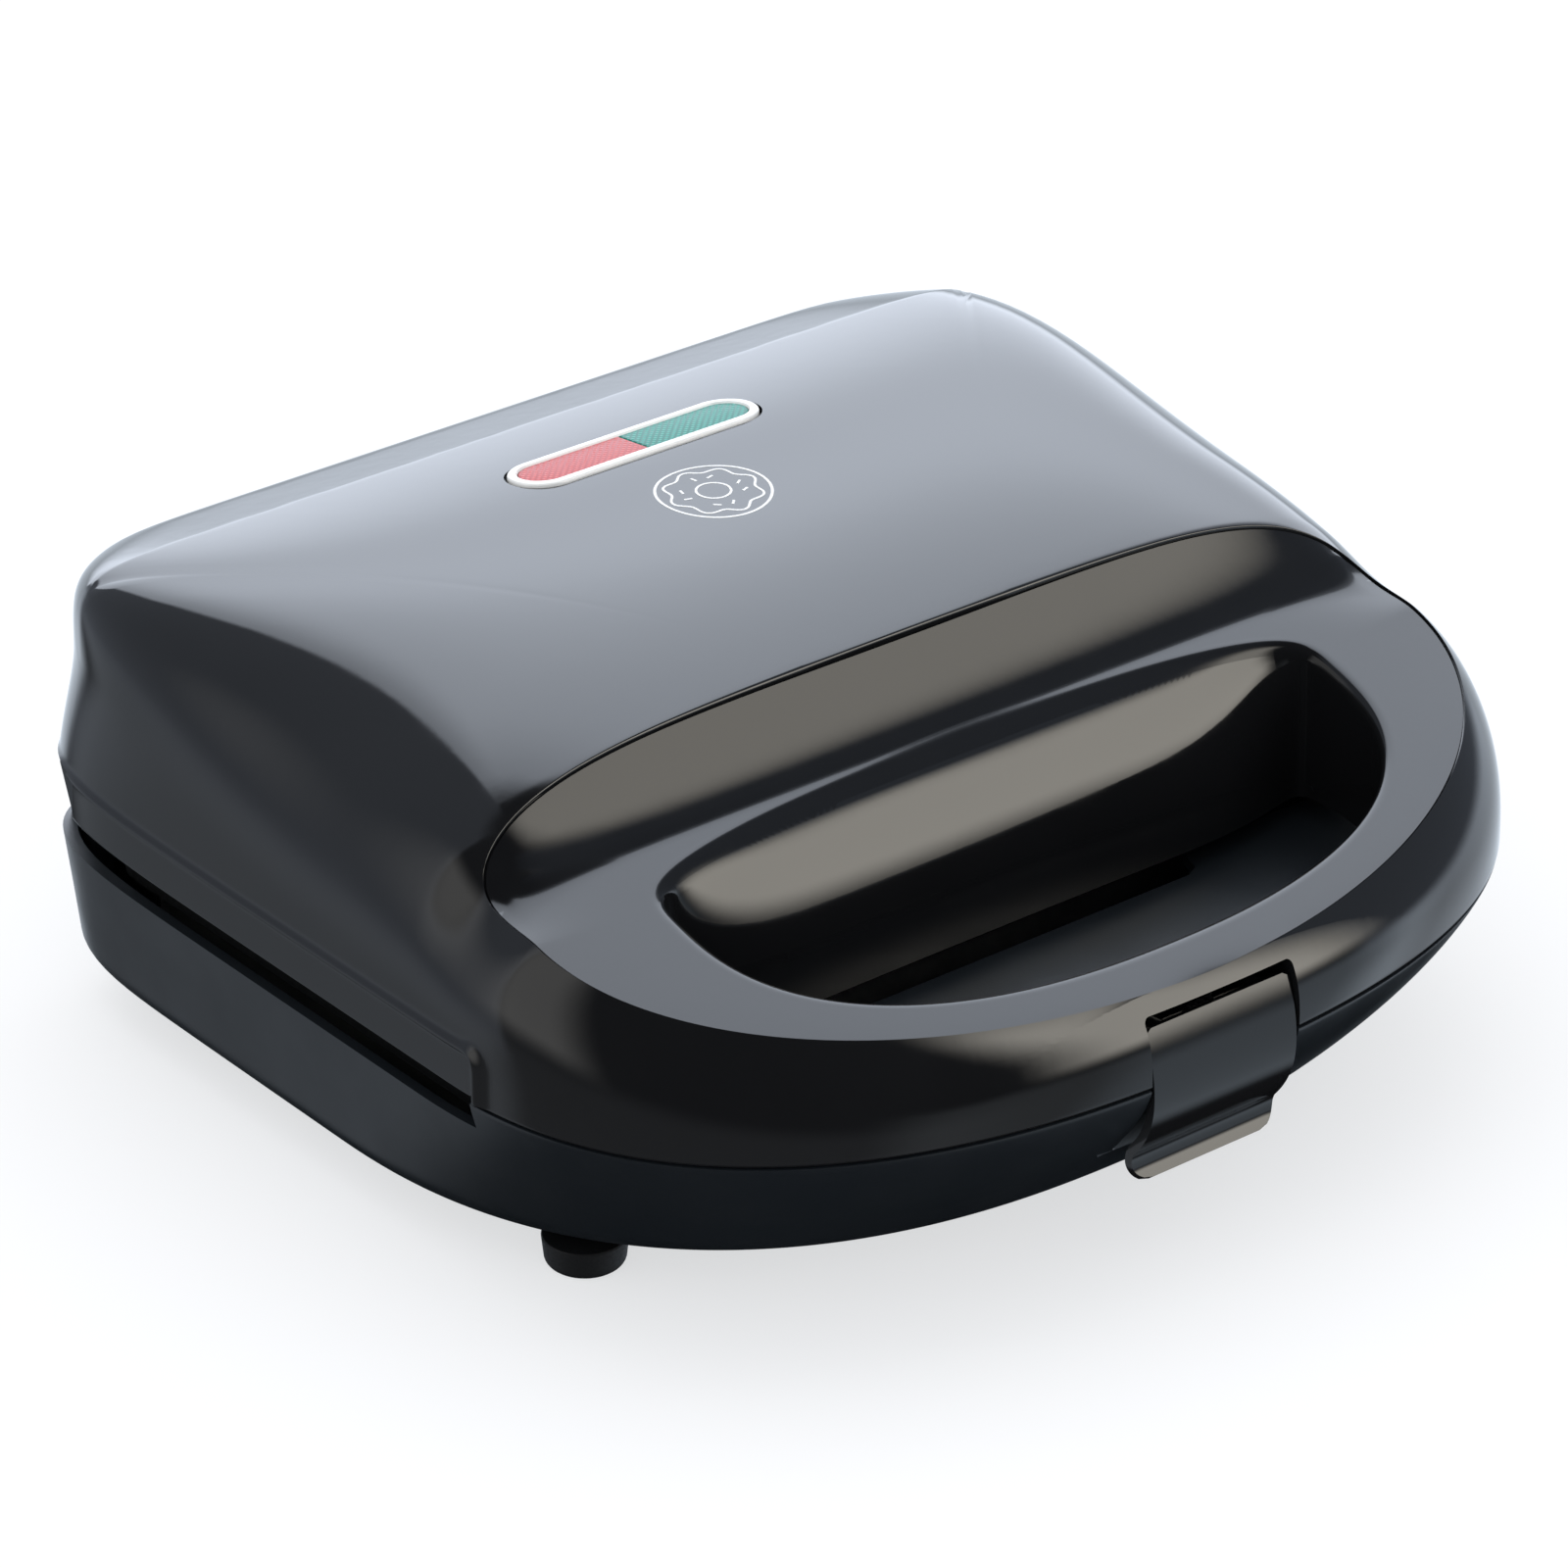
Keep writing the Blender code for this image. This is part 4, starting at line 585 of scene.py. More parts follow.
def rod_mesh(start, end, radius, segments=32):
    start, end = Vector(start), Vector(end)
    bm = bmesh.new()
    bmesh.ops.create_cone(bm, cap_ends=True, segments=segments, radius1=radius, radius2=radius,
                          depth=(end - start).length)
    turn = (end - start).to_track_quat("Z", "Y").to_matrix().to_4x4()
    bmesh.ops.transform(bm, matrix=turn, verts=bm.verts)
    bmesh.ops.translate(bm, vec=(start + end) / 2, verts=bm.verts)
    return mesh_from(bm)


def circle_at(center, radius, z, segments):
    if radius < 1e-9:
        return [(*center, z)]
    turns = [tau * k / segments for k in range(segments)]
    return [(center[0] + radius * cos(turn), center[1] + radius * sin(turn), z)
            for turn in turns]


def turned_mesh(profile, center, segments=48):
    """A body turned about an upright axis, from (radius, z) points."""
    return loft([circle_at(center, radius, z, segments) for radius, z in profile])


def layered_mesh(*layers):
    """A body of stacked outlines with the same number of points, each given with its height."""
    return loft([[(x, y, z) for x, y in outline] for outline, z in layers], caps=True)


def join_meshes(meshes):
    bm = bmesh.new()
    for mesh in meshes:
        bm.from_mesh(mesh)
        bpy.data.meshes.remove(mesh)
    return as_mesh(bm)


def arc_points(center, radius, start, end, count):
    turns = [radians(start + (end - start) * k / (count - 1)) for k in range(count)]
    return [(center[0] + radius * cos(turn), center[1] + radius * sin(turn))
            for turn in turns]


def rounded_rectangle(low, high, radius, count=12):
    (x0, y0), (x1, y1) = (low[0] + radius, low[1] + radius), (high[0] - radius, high[1] - radius)
    found = []
    for center, start in (((x1, y1), 0), ((x0, y1), 90), ((x0, y0), 180), ((x1, y0), 270)):
        found += arc_points(center, radius, start, start + 90, count)
    return found


def stadium(length, width, count=24):
    radius = width / 2
    reach = length / 2 - radius
    return arc_points((reach, 0.0), radius, -90, 90, count) \
        + arc_points((-reach, 0.0), radius, 90, 270, count)


def add_object(name, data):
    obj = bpy.data.objects.new(name, data)
    bpy.context.scene.collection.objects.link(obj)
    return obj


def combine(mesh, *steps):
    """Booleans, one after another. A step is CUT or ADD with its tool, which is used up."""
    for operation, tool in steps:
        target, other = add_object("work", mesh), add_object("tool", tool)
        step = target.modifiers.new("cut", "BOOLEAN")
        step.operation = operation
        step.solver = "EXACT"
        step.object = other
        bpy.context.view_layer.update()
        evaluated = target.evaluated_get(bpy.context.evaluated_depsgraph_get())
        made = bpy.data.meshes.new_from_object(evaluated)
        for obj in (target, other):
            used = obj.data
            bpy.data.objects.remove(obj, do_unlink=True)
            bpy.data.meshes.remove(used)
        mesh = made
    return mesh


def piece(name, mesh, look, body, nodes=(), sharp=35.0):
    """Adds a visible piece that rides on a body and may stand for CAD nodes."""
    mesh.name = name + "_mesh"
    mesh.transform(Matrix.Translation(PLACE))
    obj = add_object(name, mesh)
    mesh.materials.clear()
    mesh.materials.append(LOOK[look])
    mesh.shade_smooth()
    mesh.set_sharp_from_angle(angle=radians(sharp))
    if nodes:
        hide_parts(*nodes)
    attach(obj, body)
    return obj


# ---- materials ----
LOOK = {}


def set_inputs(tree, node, inputs):
    """Sets a node's inputs to values, or joins them to other nodes' outputs."""
    for name, value in inputs.items():
        if isinstance(value, bpy.types.NodeSocket):
            tree.links.new(value, node.inputs[name])
        else:
            node.inputs[name].default_value = value


def add_node(tree, kind, inputs=None, **settings):
    node = tree.nodes.new("ShaderNode" + kind)
    for name, value in settings.items():
        setattr(node, name, value)
    set_inputs(tree, node, inputs or {})
    return node


def add_math(tree, operation, *values):
    return add_node(tree, "Math", dict(enumerate(values)), operation=operation).outputs[0]


def map_range(tree, source, to_low, to_high, low=0.3, high=0.7, shape="LINEAR"):
    inputs = {"Value": source, "From Min": low, "From Max": high, "To Min": to_low, "To Max": to_high}
    return add_node(tree, "MapRange", inputs, interpolation_type=shape).outputs["Result"]


def bump_of(tree, height, strength, distance):
    inputs = {"Height": height, "Strength": strength, "Distance": distance}
    return add_node(tree, "Bump", inputs).outputs["Normal"]


def place_of(tree, source, **inputs):
    return add_node(tree, "Mapping", {"Vector": source, **inputs}).outputs["Vector"]


def mix_of(tree, factor, first, second):
    inputs = {"A": (*first, 1.0), "B": (*second, 1.0), "Factor": factor}
    return add_node(tree, "Mix", inputs, data_type="RGBA").outputs["Result"]


def new_finish(name, color, roughness, layers=(), metallic=0.0, specular=0.5, transmission=0.0):
    """A Principled material. A layer is noise in object space, with its scale in cycles per metre,
    its detail and what it drives: rough from and to, bump strength and depth, tint from and to."""
    made = bpy.data.materials.new(name)
    made.use_nodes = True
    tree = made.node_tree
    shader = tree.nodes["Principled BSDF"]
    inputs = {"Base Color": (*color, 1.0), "Roughness": roughness, "Metallic": metallic,
              "Specular IOR Level": specular, "Transmission Weight": transmission}
    set_inputs(tree, shader, inputs)
    for scale, detail, drives in layers:
        source = add_node(tree, "TexCoord").outputs["Object"]
        if "stretch" in drives:
            source = place_of(tree, source, Scale=drives["stretch"])
        inputs = {"Scale": scale, "Detail": detail, "Vector": source}
        noise = add_node(tree, "TexNoise", inputs).outputs["Fac"]
        if "rough" in drives:
            set_inputs(tree, shader, {"Roughness": map_range(tree, noise, *drives["rough"])})
        if "bump" in drives:
            set_inputs(tree, shader, {"Normal": bump_of(tree, noise, *drives["bump"])})
        if "tint" in drives:
            factor = noise
            if "edges" in drives:
                factor = map_range(tree, noise, 0.0, 1.0, *drives["edges"])
            set_inputs(tree, shader, {"Base Color": mix_of(tree, factor, *drives["tint"])})
    LOOK[name] = made
    return tree, shader


# gloss moulding: deep black, a faint moulded waviness and fine handling haze
new_finish("gloss_black", (0.0065, 0.0068, 0.0075), 0.055, [
    (90.0, 4.0, dict(rough=(0.045, 0.085))),
    (260.0, 2.0, dict(bump=(0.05, 0.00012))),
    (35.0, 2.0, dict(tint=((0.0058, 0.0060, 0.0066), (0.0078, 0.0080, 0.0088))))])
# the handle's flat recess: the same black, a little duller
new_finish("recess_black", (0.0060, 0.0062, 0.0070), 0.10, [
    (120.0, 4.0, dict(
        rough=(0.085, 0.125), tint=((0.0054, 0.0056, 0.0064), (0.0068, 0.0070, 0.0078)))),
    (420.0, 2.0, dict(bump=(0.05, 0.0001)))], specular=0.31)
# satin moulding of the base: fine spark-eroded grain
new_finish("satin_black", (0.0085, 0.0095, 0.0105), 0.36, [
    (2600.0, 2.0, dict(bump=(0.22, 0.00006))),
    (60.0, 3.0, dict(
        rough=(0.31, 0.41), tint=((0.0078, 0.0102, 0.0132), (0.0098, 0.0125, 0.0158))))])
# dark non-stick coating with fine flecks
new_finish("non_stick", (0.020, 0.021, 0.022), 0.42, [
    (900.0, 3.0, dict(bump=(0.18, 0.00008), rough=(0.36, 0.50))),
    (3200.0, 1.0, dict(
        edges=(0.55, 0.75), tint=((0.018, 0.019, 0.020), (0.045, 0.046, 0.048))))], metallic=0.25)
# steel: drawn bars and turned screws
new_finish("steel", (0.56, 0.55, 0.53), 0.30, [
    (700.0, 3.0, dict(stretch=(0.12, 1.0, 1.0), rough=(0.22, 0.40), bump=(0.10, 0.00004))),
    (140.0, 3.0, dict(tint=((0.50, 0.48, 0.45), (0.60, 0.59, 0.58))))], metallic=1.0)
# spring wire coloured near-black: painted shade for the dark gap behind the latch
new_finish("spring_painted_shade", (0.030, 0.030, 0.032), 0.42, [
    (900.0, 3.0, dict(
        rough=(0.34, 0.52), tint=((0.020, 0.021, 0.023), (0.040, 0.040, 0.042))))], metallic=0.6)
# rolled bright sheet
new_finish("reflector", (0.42, 0.43, 0.44), 0.40, [
    (500.0, 3.0, dict(
        stretch=(1.0, 0.08, 1.0), rough=(0.34, 0.46), bump=(0.03, 0.00002),
        tint=((0.38, 0.39, 0.40), (0.46, 0.47, 0.48))))], metallic=1.0)
# white moulded rim of the indicator
new_finish("white_plastic", (0.82, 0.82, 0.81), 0.22, [
    (400.0, 2.0, dict(
        rough=(0.18, 0.28), bump=(0.04, 0.00005), tint=((0.78, 0.78, 0.77), (0.86, 0.86, 0.85))))])
new_finish("lamp_glass", (0.80, 0.62, 0.52), 0.10, [
    (300.0, 2.0, dict(rough=(0.06, 0.16)))], transmission=0.6)
new_finish("ceramic", (0.80, 0.78, 0.72), 0.52, [
    (1500.0, 3.0, dict(
        bump=(0.2, 0.00008), tint=((0.74, 0.72, 0.66), (0.84, 0.82, 0.77))))])
# glass-fibre sleeves of the wires
new_finish("sleeving", (0.72, 0.70, 0.65), 0.75, [
    (2200.0, 2.0, dict(
        bump=(0.4, 0.0001), tint=((0.62, 0.60, 0.55), (0.80, 0.78, 0.73))))])
new_finish("rubber", (0.0055, 0.0060, 0.0072), 0.62, [
    (1800.0, 3.0, dict(rough=(0.54, 0.70), bump=(0.25, 0.00008)))], specular=0.35)
# printing ink of the mark on the lid
new_finish("mark_white", (0.80, 0.80, 0.80), 0.45, [
    (2500.0, 2.0, dict(tint=((0.70, 0.71, 0.72), (0.86, 0.86, 0.86))))])

# translucent lenses with a moulded diamond pattern under a smooth face
LENS_WAVES = 290.0
for name, dark, bright in (("red_lens", (0.42, 0.045, 0.045), (0.64, 0.110, 0.105)),
                           ("green_lens", (0.010, 0.160, 0.130), (0.028, 0.350, 0.280))):
    tree, shader = new_finish(name, bright, 0.28, specular=0.14)
    turned = place_of(tree, add_node(tree, "TexCoord").outputs["Object"],
                      Rotation=(0.0, 0.0, radians(45.0)))
    waves = [add_node(tree, "TexWave", {"Scale": LENS_WAVES, "Distortion": 0.0, "Vector": turned},
                      wave_type="BANDS", bands_direction=direction, wave_profile="SIN").outputs["Fac"]
             for direction in ("X", "Y")]
    facets = add_math(tree, "MULTIPLY", *waves)
    factor = map_range(tree, facets, 0.0, 1.0, 0.0, 0.8)
    set_inputs(tree, shader, {"Base Color": mix_of(tree, factor, dark, bright),
                              "Normal": bump_of(tree, facets, 0.35, 0.0002)})

# CAD nodes that keep their own shape take the finish of their slot; the latch spring instead takes the
# near-black finish that paints the shade in the gap behind the latch
for entry in frame["record"]["subparts"]:
    node = frame["nodes"][entry["node"]]
    look = LOOK["spring_painted_shade" if entry["node"] == "latch_spring" else entry["material_slot"]]
    if not node.material_slots:
        node.data.materials.append(look)
    for slot in node.material_slots:
        slot.material = look


# ---- lid ----
def lug_pair(x_range, up, rear, front):
    """Round-ended plates about the hinge pin on both sides, from their rear and front points."""
    start = 180.0 if up else 0.0
    outline = arc_points((HINGE_Y, HINGE_Z), KNUCKLE_RADIUS, start, start + 180.0, 28)
    outline += rear + front[::-1] if up else front + rear[::-1]
    half = (x_range[1] - x_range[0]) / 2
    middle = (x_range[0] + x_range[1]) / 2
    return join_meshes([loft([[(sign * middle + x, y, z) for y, z in outline] for x in (-half, half)],
                             caps=True) for sign in (1, -1)])


def hinge_bores():
    return join_meshes([rod_mesh((sign * (BARREL_END + 0.0010), HINGE_Y, HINGE_Z),
                                 (sign * BORE_END, HINGE_Y, HINGE_Z), PIN_RADIUS + FIT_GAP, 40)
                        for sign in (1, -1)])


def axle(half_width, y, z, radius, segments=32):
    return rod_mesh((-half_width, y, z), (half_width, y, z), radius, segments)


def latch_bore(half_width, segments=32):
    return axle(half_width, LATCH_PIVOT_Y, LATCH_PIVOT_Z, LATCH_PIN_RADIUS + FIT_GAP, segments)


INDICATOR_Z = float(top_panel(INDICATOR_Y))
INDICATOR_LEAN = atan(TOP_SLOPE + 2 * TOP_CROWN * INDICATOR_Y + 3 * TOP_SKEW * INDICATOR_Y ** 2)


def lean_on_top(mesh):
    mesh.transform(Matrix.Translation((0.0, INDICATOR_Y, INDICATOR_Z))
                   @ Matrix.Rotation(INDICATOR_LEAN, 4, "X"))
    return mesh


def grown(grow):
    return stadium(INDICATOR_LENGTH + 2 * grow, INDICATOR_WIDTH + 2 * grow)


lid_outer = lid_skin(0.0, 14 * FINE, 16 * FINE, 34 * FINE, 40 * FINE, 260 * FINE)
lid_inner = lid_skin(WALL, 4, 4, 8, 10, 160)
knuckles = lug_pair(KNUCKLE_X, True, [(0.0912, 0.0120), (0.0892, 0.0190)],
                    [(0.0815, 0.0125), (0.0850, 0.0190)])
latch_bosses = box_pair(LATCH_HALF_SLOT - 0.0005, 0.0225, (-0.1234, -0.1155), (0.0032, 0.0104))
latch_recess = middle_box(LATCH_HALF_SLOT, (OUTSIDE_FRONT, -0.1120), (-0.0100, RECESS_TOP),
                          0.0013, 5)
window = lean_on_top(layered_mesh((grown(2 * FIT_GAP), -0.0080), (grown(2 * FIT_GAP), 0.0060)))
shell = combine(
    loft(lid_outer + lid_inner[::-1], closed=True, triangles=True),
    (CUT, middle_box(OUTSIDE_X, (SKIRT_REAR, OUTSIDE_REAR), (-0.0120, LID_EDGE))),
    (ADD, join_meshes([knuckles, latch_bosses])),
    (CUT, join_meshes([hinge_bores(), latch_recess, window])),
    (CUT, latch_bore(0.0212)))
piece("lid_skin", shell, "gloss_black", "lid", ["lid_shell"])
# the recess's floor takes its own black: faces inside its plan curve, near its height
shell.materials.append(LOOK["recess_black"])
middles = np.array([face.center for face in shell.polygons]) - np.array(PLACE)
turns = np.arctan2(middles[:, 1] - HOLE_MIDDLE, middles[:, 0]) % tau
around = np.linspace(0.0, tau, OVAL_POINTS // 2 + 1)
within = np.hypot(middles[:, 0], middles[:, 1] - HOLE_MIDDLE) < np.interp(
    turns, around, reach_at(plate_curve(), around)) - RECESS_MARGIN
flat = np.abs(middles[:, 2] - recess_height(middles[:, 0], middles[:, 1])) < RECESS_TOLERANCE
for index in np.nonzero(within & flat)[0]:
    shell.polygons[index].material_index = 1


# ---- base ----
top = PARTING_GAP / 2
depths = np.concatenate([[0.00065, 0.0013], np.linspace(0.0025, 0.0270, 10 * FINE),
                         np.linspace(0.0276, BASE_DEPTH, 9 * FINE)])
inner_depths = (top, 0.005, 0.010, 0.015, 0.020, 0.026, 0.0295, 0.0325, BASE_DEPTH - WALL)
hull = loft([*(hull_ring(depth) for depth in depths[::-1]),
             hull_ring(top, draw=EDGE_ROUND, drop=EDGE_ROUND), hull_ring(top, draw=EDGE_DRAW),
             *(hull_ring(depth, WALL) for depth in inner_depths)], caps=True, triangles=True)
# U-shaped cut round the sides and rear, from the front end of the side slots
SLOT_INNER_X, SLOT_INNER_Y = 0.1060, 0.0800
surround = [(-OUTSIDE_X, SLOT_FRONT), (-SLOT_INNER_X, SLOT_FRONT), (-SLOT_INNER_X, SLOT_INNER_Y),
            (SLOT_INNER_X, SLOT_INNER_Y), (SLOT_INNER_X, SLOT_FRONT), (OUTSIDE_X, SLOT_FRONT),
            (OUTSIDE_X, OUTSIDE_REAR), (-OUTSIDE_X, OUTSIDE_REAR)]
barrel = axle(BARREL_END, HINGE_Y, HINGE_Z, BARREL_RADIUS, 64)
webs = box_pair(0.0605, BARREL_END - 0.0005, (0.0826, 0.0895), (-0.0350, HINGE_Z))
lugs = lug_pair(LUG_X, False, [(0.0912, -0.0110), (0.0908, -0.0250)],
                [(0.0818, -0.0110), (0.0822, -0.0350)])
ears = lug_pair(EAR_X, False, [(0.0886, -0.0050), (0.0848, -0.0250)],
                [(0.0813, -0.0050), (0.0808, -0.0250)])
notch = middle_box(LATCH_HALF_SLOT, (OUTSIDE_FRONT, CATCH_Y), (-0.0240, 0.0200), 0.0010, 3)
catch_wall = middle_box(0.0205, (CATCH_Y, CATCH_Y + WALL), (-0.0176, -0.0006))
catch_ledge = middle_box(0.0100, (CATCH_Y - 0.0035, CATCH_Y + 0.0010), (-0.0112, -0.0092), 0.0004)
gland_bore = rod_mesh((GLAND_X, 0.0850, GLAND_Z), (GLAND_X, 0.1000, GLAND_Z), GLAND_NECK + FIT_GAP)
hull = combine(
    hull,
    (CUT, layered_mesh((surround, BASE_EDGE), (surround, 0.0200))),
    (CUT, middle_box(0.0980, (0.0805, 0.1210), (REAR_EDGE, 0.0210))),
    (ADD, barrel), (ADD, webs), (ADD, lugs), (ADD, ears), (CUT, hinge_bores()),
    (CUT, notch), (ADD, catch_wall), (ADD, catch_ledge), (CUT, gland_bore))
piece("base_skin", hull, "satin_black", "base", ["base_shell"])


# ---- latch ----
LATCH_TOP, LATCH_BEND = 0.0106, -0.0160
BULGE_Y, BULGE_Z = -0.1257, -0.0026
LIP_TURN, LIP_TIP = Vector((-0.1192, -0.0188)), Vector((-0.1215, -0.0215))
LATCH_CORNER = 0.0042
LATCH_TOP_CORNER = 0.0009 * 1.5
LATCH_EDGE_ROUND = 0.00035
SHARP_ANGLE = 0.9


def latch_line(count=40):
    """Outer face of the latch from top to lip, as (y, z) points."""
    found = []
    for z in np.linspace(LATCH_TOP, LATCH_BEND, count):
        length, depth, power = (0.0132, 0.0030, 1.9) if z > BULGE_Z else (0.0134, 0.0051, 2.2)
        found.append((BULGE_Y + depth * (abs(z - BULGE_Z) / length) ** power, z))
    lip = bend_between(Vector(found[-1]), LIP_TURN, LIP_TIP, 12)
    return found + [tuple(point) for point in lip] + [tuple(LIP_TIP)]


def corner_cut(away, radius):
    """How far a round corner takes the side in, at a distance from the end."""
    if away >= radius:
        return 0.0
    return radius - sqrt(max(radius ** 2 - (radius - away) ** 2, 0.0))


def latch_mesh():
    """The latch plate: rows down the outer line, with round corners and an even wall."""
    line = latch_line()
    run = np.concatenate([[0.0], np.cumsum([dist(p, q) for p, q in zip(line, line[1:])])])
    bm = bmesh.new()
    across = np.linspace(-1.0, 1.0, 25)
    outer, inner = [], []
    for index, (y, z) in enumerate(line):
        width = LATCH_WIDTH / 2 - max(corner_cut(run[-1] - run[index], LATCH_CORNER),
                                      corner_cut(run[index], LATCH_TOP_CORNER))
        before, after = line[max(index - 1, 0)], line[min(index + 1, len(line) - 1)]
        along = Vector((after[0] - before[0], after[1] - before[1])).normalized()
        inward = Vector((-along.y, along.x))
        if inward.x < 0:
            inward = -inward
        outer.append([bm.verts.new((u * width, y, z)) for u in across])
        inner.append([bm.verts.new((u * width, y + inward.x * LATCH_WALL, z + inward.y * LATCH_WALL))
                      for u in across])
    sides = [([row[end] for row in outer], [row[end] for row in inner]) for end in (0, -1)]
    for first, second in [*zip(outer, outer[1:]), *zip(inner, inner[1:]), (outer[0], inner[0]),
                          (outer[-1], inner[-1]), *sides]:
        for k in range(len(first) - 1):
            bm.faces.new((first[k], first[k + 1], second[k + 1], second[k]))
    edges = [edge for edge in bm.edges
             if len(edge.link_faces) == 2 and edge.calc_face_angle(0.0) > SHARP_ANGLE]
    bmesh.ops.bevel(bm, geom=edges, offset=LATCH_EDGE_ROUND, segments=2, profile=0.5, affect="EDGES")
    return mesh_from(bm)


latch_lugs = box_pair(0.0100, 0.0135, (-0.1229, -0.1162), (0.0046, 0.0094), 0.0010)
hook = middle_box(0.0090, (-0.1215, CATCH_Y - 0.0010), (-0.0134, -0.0118), 0.0003)
plate = combine(latch_mesh(), (ADD, latch_lugs), (ADD, hook), (CUT, latch_bore(0.0150, 24)))
piece("latch_skin", plate, "gloss_black", "latch", ["latch"])


# ---- indicator and mark ----
rim_layers = ((0.0, -0.0042), (0.0, 0.0001), (-0.00010, 0.00035), (-0.00035, 0.00055),
              (-0.0006, 0.0006))
hole_layers = ((0.0, -0.0060), (0.0, 0.0002), (0.0005, 0.0009), (0.0010, 0.0020))
rim = combine(layered_mesh(*((grown(grow), z) for grow, z in rim_layers)),
              (CUT, layered_mesh(*((grown(grow - INDICATOR_BORDER), z) for grow, z in hole_layers))))
piece("indicator_rim", lean_on_top(rim), "white_plastic", "lid", ["indicator_bezel"])


def half_lens(sign, inset):
    radius = INDICATOR_WIDTH / 2 - INDICATOR_BORDER - FIT_GAP / 2 - inset
    reach = INDICATOR_LENGTH / 2 - INDICATOR_WIDTH / 2
    seam = 0.0001 + inset
    start = -90 if sign > 0 else 90
    arc = arc_points((sign * reach, 0.0), radius, start, start + 180, 25)
    return [(sign * seam, -sign * radius), *arc, (sign * seam, sign * radius)]


lens_layers = ((0.0, -0.0030), (0.0, 0.00015), (0.00015, 0.0003), (0.0005, 0.00036))
for side, sign in (("red", -1), ("green", 1)):
    lens = layered_mesh(*((half_lens(sign, inset), z) for inset, z in lens_layers))
    piece(side + "_lens_skin", lean_on_top(lens), side + "_lens", "lid", [side + "_lens"])

MARK_X = -0.0035
MARK_Y = 0.0160
MARK_LIFT = (-0.00003, 0.00004)
FLECK_RADIUS = 0.0060
FLECK_HALF_LENGTH = 0.0008
LINE_WIDTH = 0.0005
OUTER_LINE_WIDTH = 0.00055


def mark_ribbon(points, width, closed=True):
    """A thin printed line that lies on the top panel, from plan points."""
    rows = []
    count = len(points)
    for index, point in enumerate(points):
        before = Vector(points[(index - 1) % count] if closed or index > 0 else point)
        after = Vector(points[(index + 1) % count] if closed or index < count - 1 else point)
        along = (after - before).normalized()
        across = Vector((-along.y, along.x)) * width / 2
        row = []
        for sign, lifts in ((-1, MARK_LIFT), (1, MARK_LIFT[::-1])):
            x, y = Vector(point) + sign * across
            z = float(lid_height(np.array(x), np.array(y)))
            row += [(x, y, z + lift) for lift in lifts]
        rows.append(row)
    return loft(rows, closed=closed, caps=not closed)


def wavy_ring(radius, wave, turns, count):
    found = []
    for k in range(count):
        angle = tau * k / count
        reach = radius + wave * cos(turns * angle)
        found.append((MARK_X + reach * cos(angle), MARK_Y + reach * sin(angle)))
    return found


# a ring in an iced ring in a circle, with eight short flecks
mark = [mark_ribbon(wavy_ring(0.0110, 0.0, 1, 120), OUTER_LINE_WIDTH),
        mark_ribbon(wavy_ring(0.0088, 0.0007, 8, 160), LINE_WIDTH),
        mark_ribbon(wavy_ring(0.0033, 0.0, 1, 64), LINE_WIDTH)]
for k in range(8):
    angle = tau * (k + 0.3 * (k % 2)) / 8
    middle = Vector((MARK_X + FLECK_RADIUS * cos(angle),
                     MARK_Y + FLECK_RADIUS * sin(angle)))
    lean = Vector((cos(angle * 2.7 + 0.6), sin(angle * 2.7 + 0.6))) * FLECK_HALF_LENGTH
    mark.append(mark_ribbon([tuple(middle - lean), tuple(middle), tuple(middle + lean)], LINE_WIDTH,
                            False))
piece("printed_mark", join_meshes(mark), "mark_white", "lid")


# ---- baking plates ----
BOWL_WALL = PLATE_SKIN * 0.8
BOWL_BASE = PLATE_FACE + 0.0006
BOWL_SHOULDER = 0.0012
PAN_ROUND = 0.0004
RING_STEPS, RING_SEGMENTS = 24, 48
RING_MIDDLE_Y = (GRID_FRONT + GRID_REAR) / 2
RING_PLACES = [((k - (count - 1) / 2) * RING_PITCH_X, RING_MIDDLE_Y + row * RING_PITCH_Y)
               for row, count in ((-1, 2), (0, 3), (1, 2)) for k in range(count)]
POST_PLACES = [(sign * SCREW_X, y) for sign in (-1, 1) for y in SCREW_Y]


def pan_mesh(sign):
    def outline(inset):
        return rounded_rectangle((-GRID_HALF_WIDTH + inset, GRID_FRONT + inset),
                                 (GRID_HALF_WIDTH - inset, GRID_REAR - inset), GRID_CORNER - inset)

    return layered_mesh(*((outline(inset), sign * z) for inset, z in (
        (PAN_ROUND, PLATE_FACE), (0.0, PLATE_FACE + PAN_ROUND), (0.0, PLATE_RIM),
        (PLATE_SKIN, PLATE_RIM), (PLATE_SKIN, PLATE_FACE + PLATE_SKIN))))


def bowl_mesh(place, sign):
    """The back of one ring mould."""
    outer = RING_SECTION + BOWL_WALL
    top = RING_DEPTH + BOWL_WALL
    profile = [(0.0, BOWL_BASE), (RING_MIDDLE_RADIUS + outer, BOWL_BASE)]
    for turn in np.radians(np.linspace(10, 130, 9)):
        profile.append((RING_MIDDLE_RADIUS + outer * cos(turn),
                        PLATE_FACE + BOWL_SHOULDER + (top - BOWL_SHOULDER) * sin(turn)))
    profile.append((0.0, PLATE_FACE + 0.0060))
    return turned_mesh([(r, sign * z) for r, z in profile], place, 40)


def ring_mesh(place, sign):
    """The ring that one mould bakes, cut out of both plates."""
    turns = [tau * (k + 0.5) / RING_STEPS for k in range(RING_STEPS)]
    return loft([circle_at(place, RING_MIDDLE_RADIUS + RING_SECTION * cos(turn),
                           sign * (PLATE_FACE + RING_DEPTH * sin(turn)), RING_SEGMENTS)
                 for turn in turns], closed=True)


def rods_at_posts(low, high, radius, segments=24):
    return join_meshes([rod_mesh((x, y, low), (x, y, high), radius, segments)
                        for x, y in POST_PLACES])


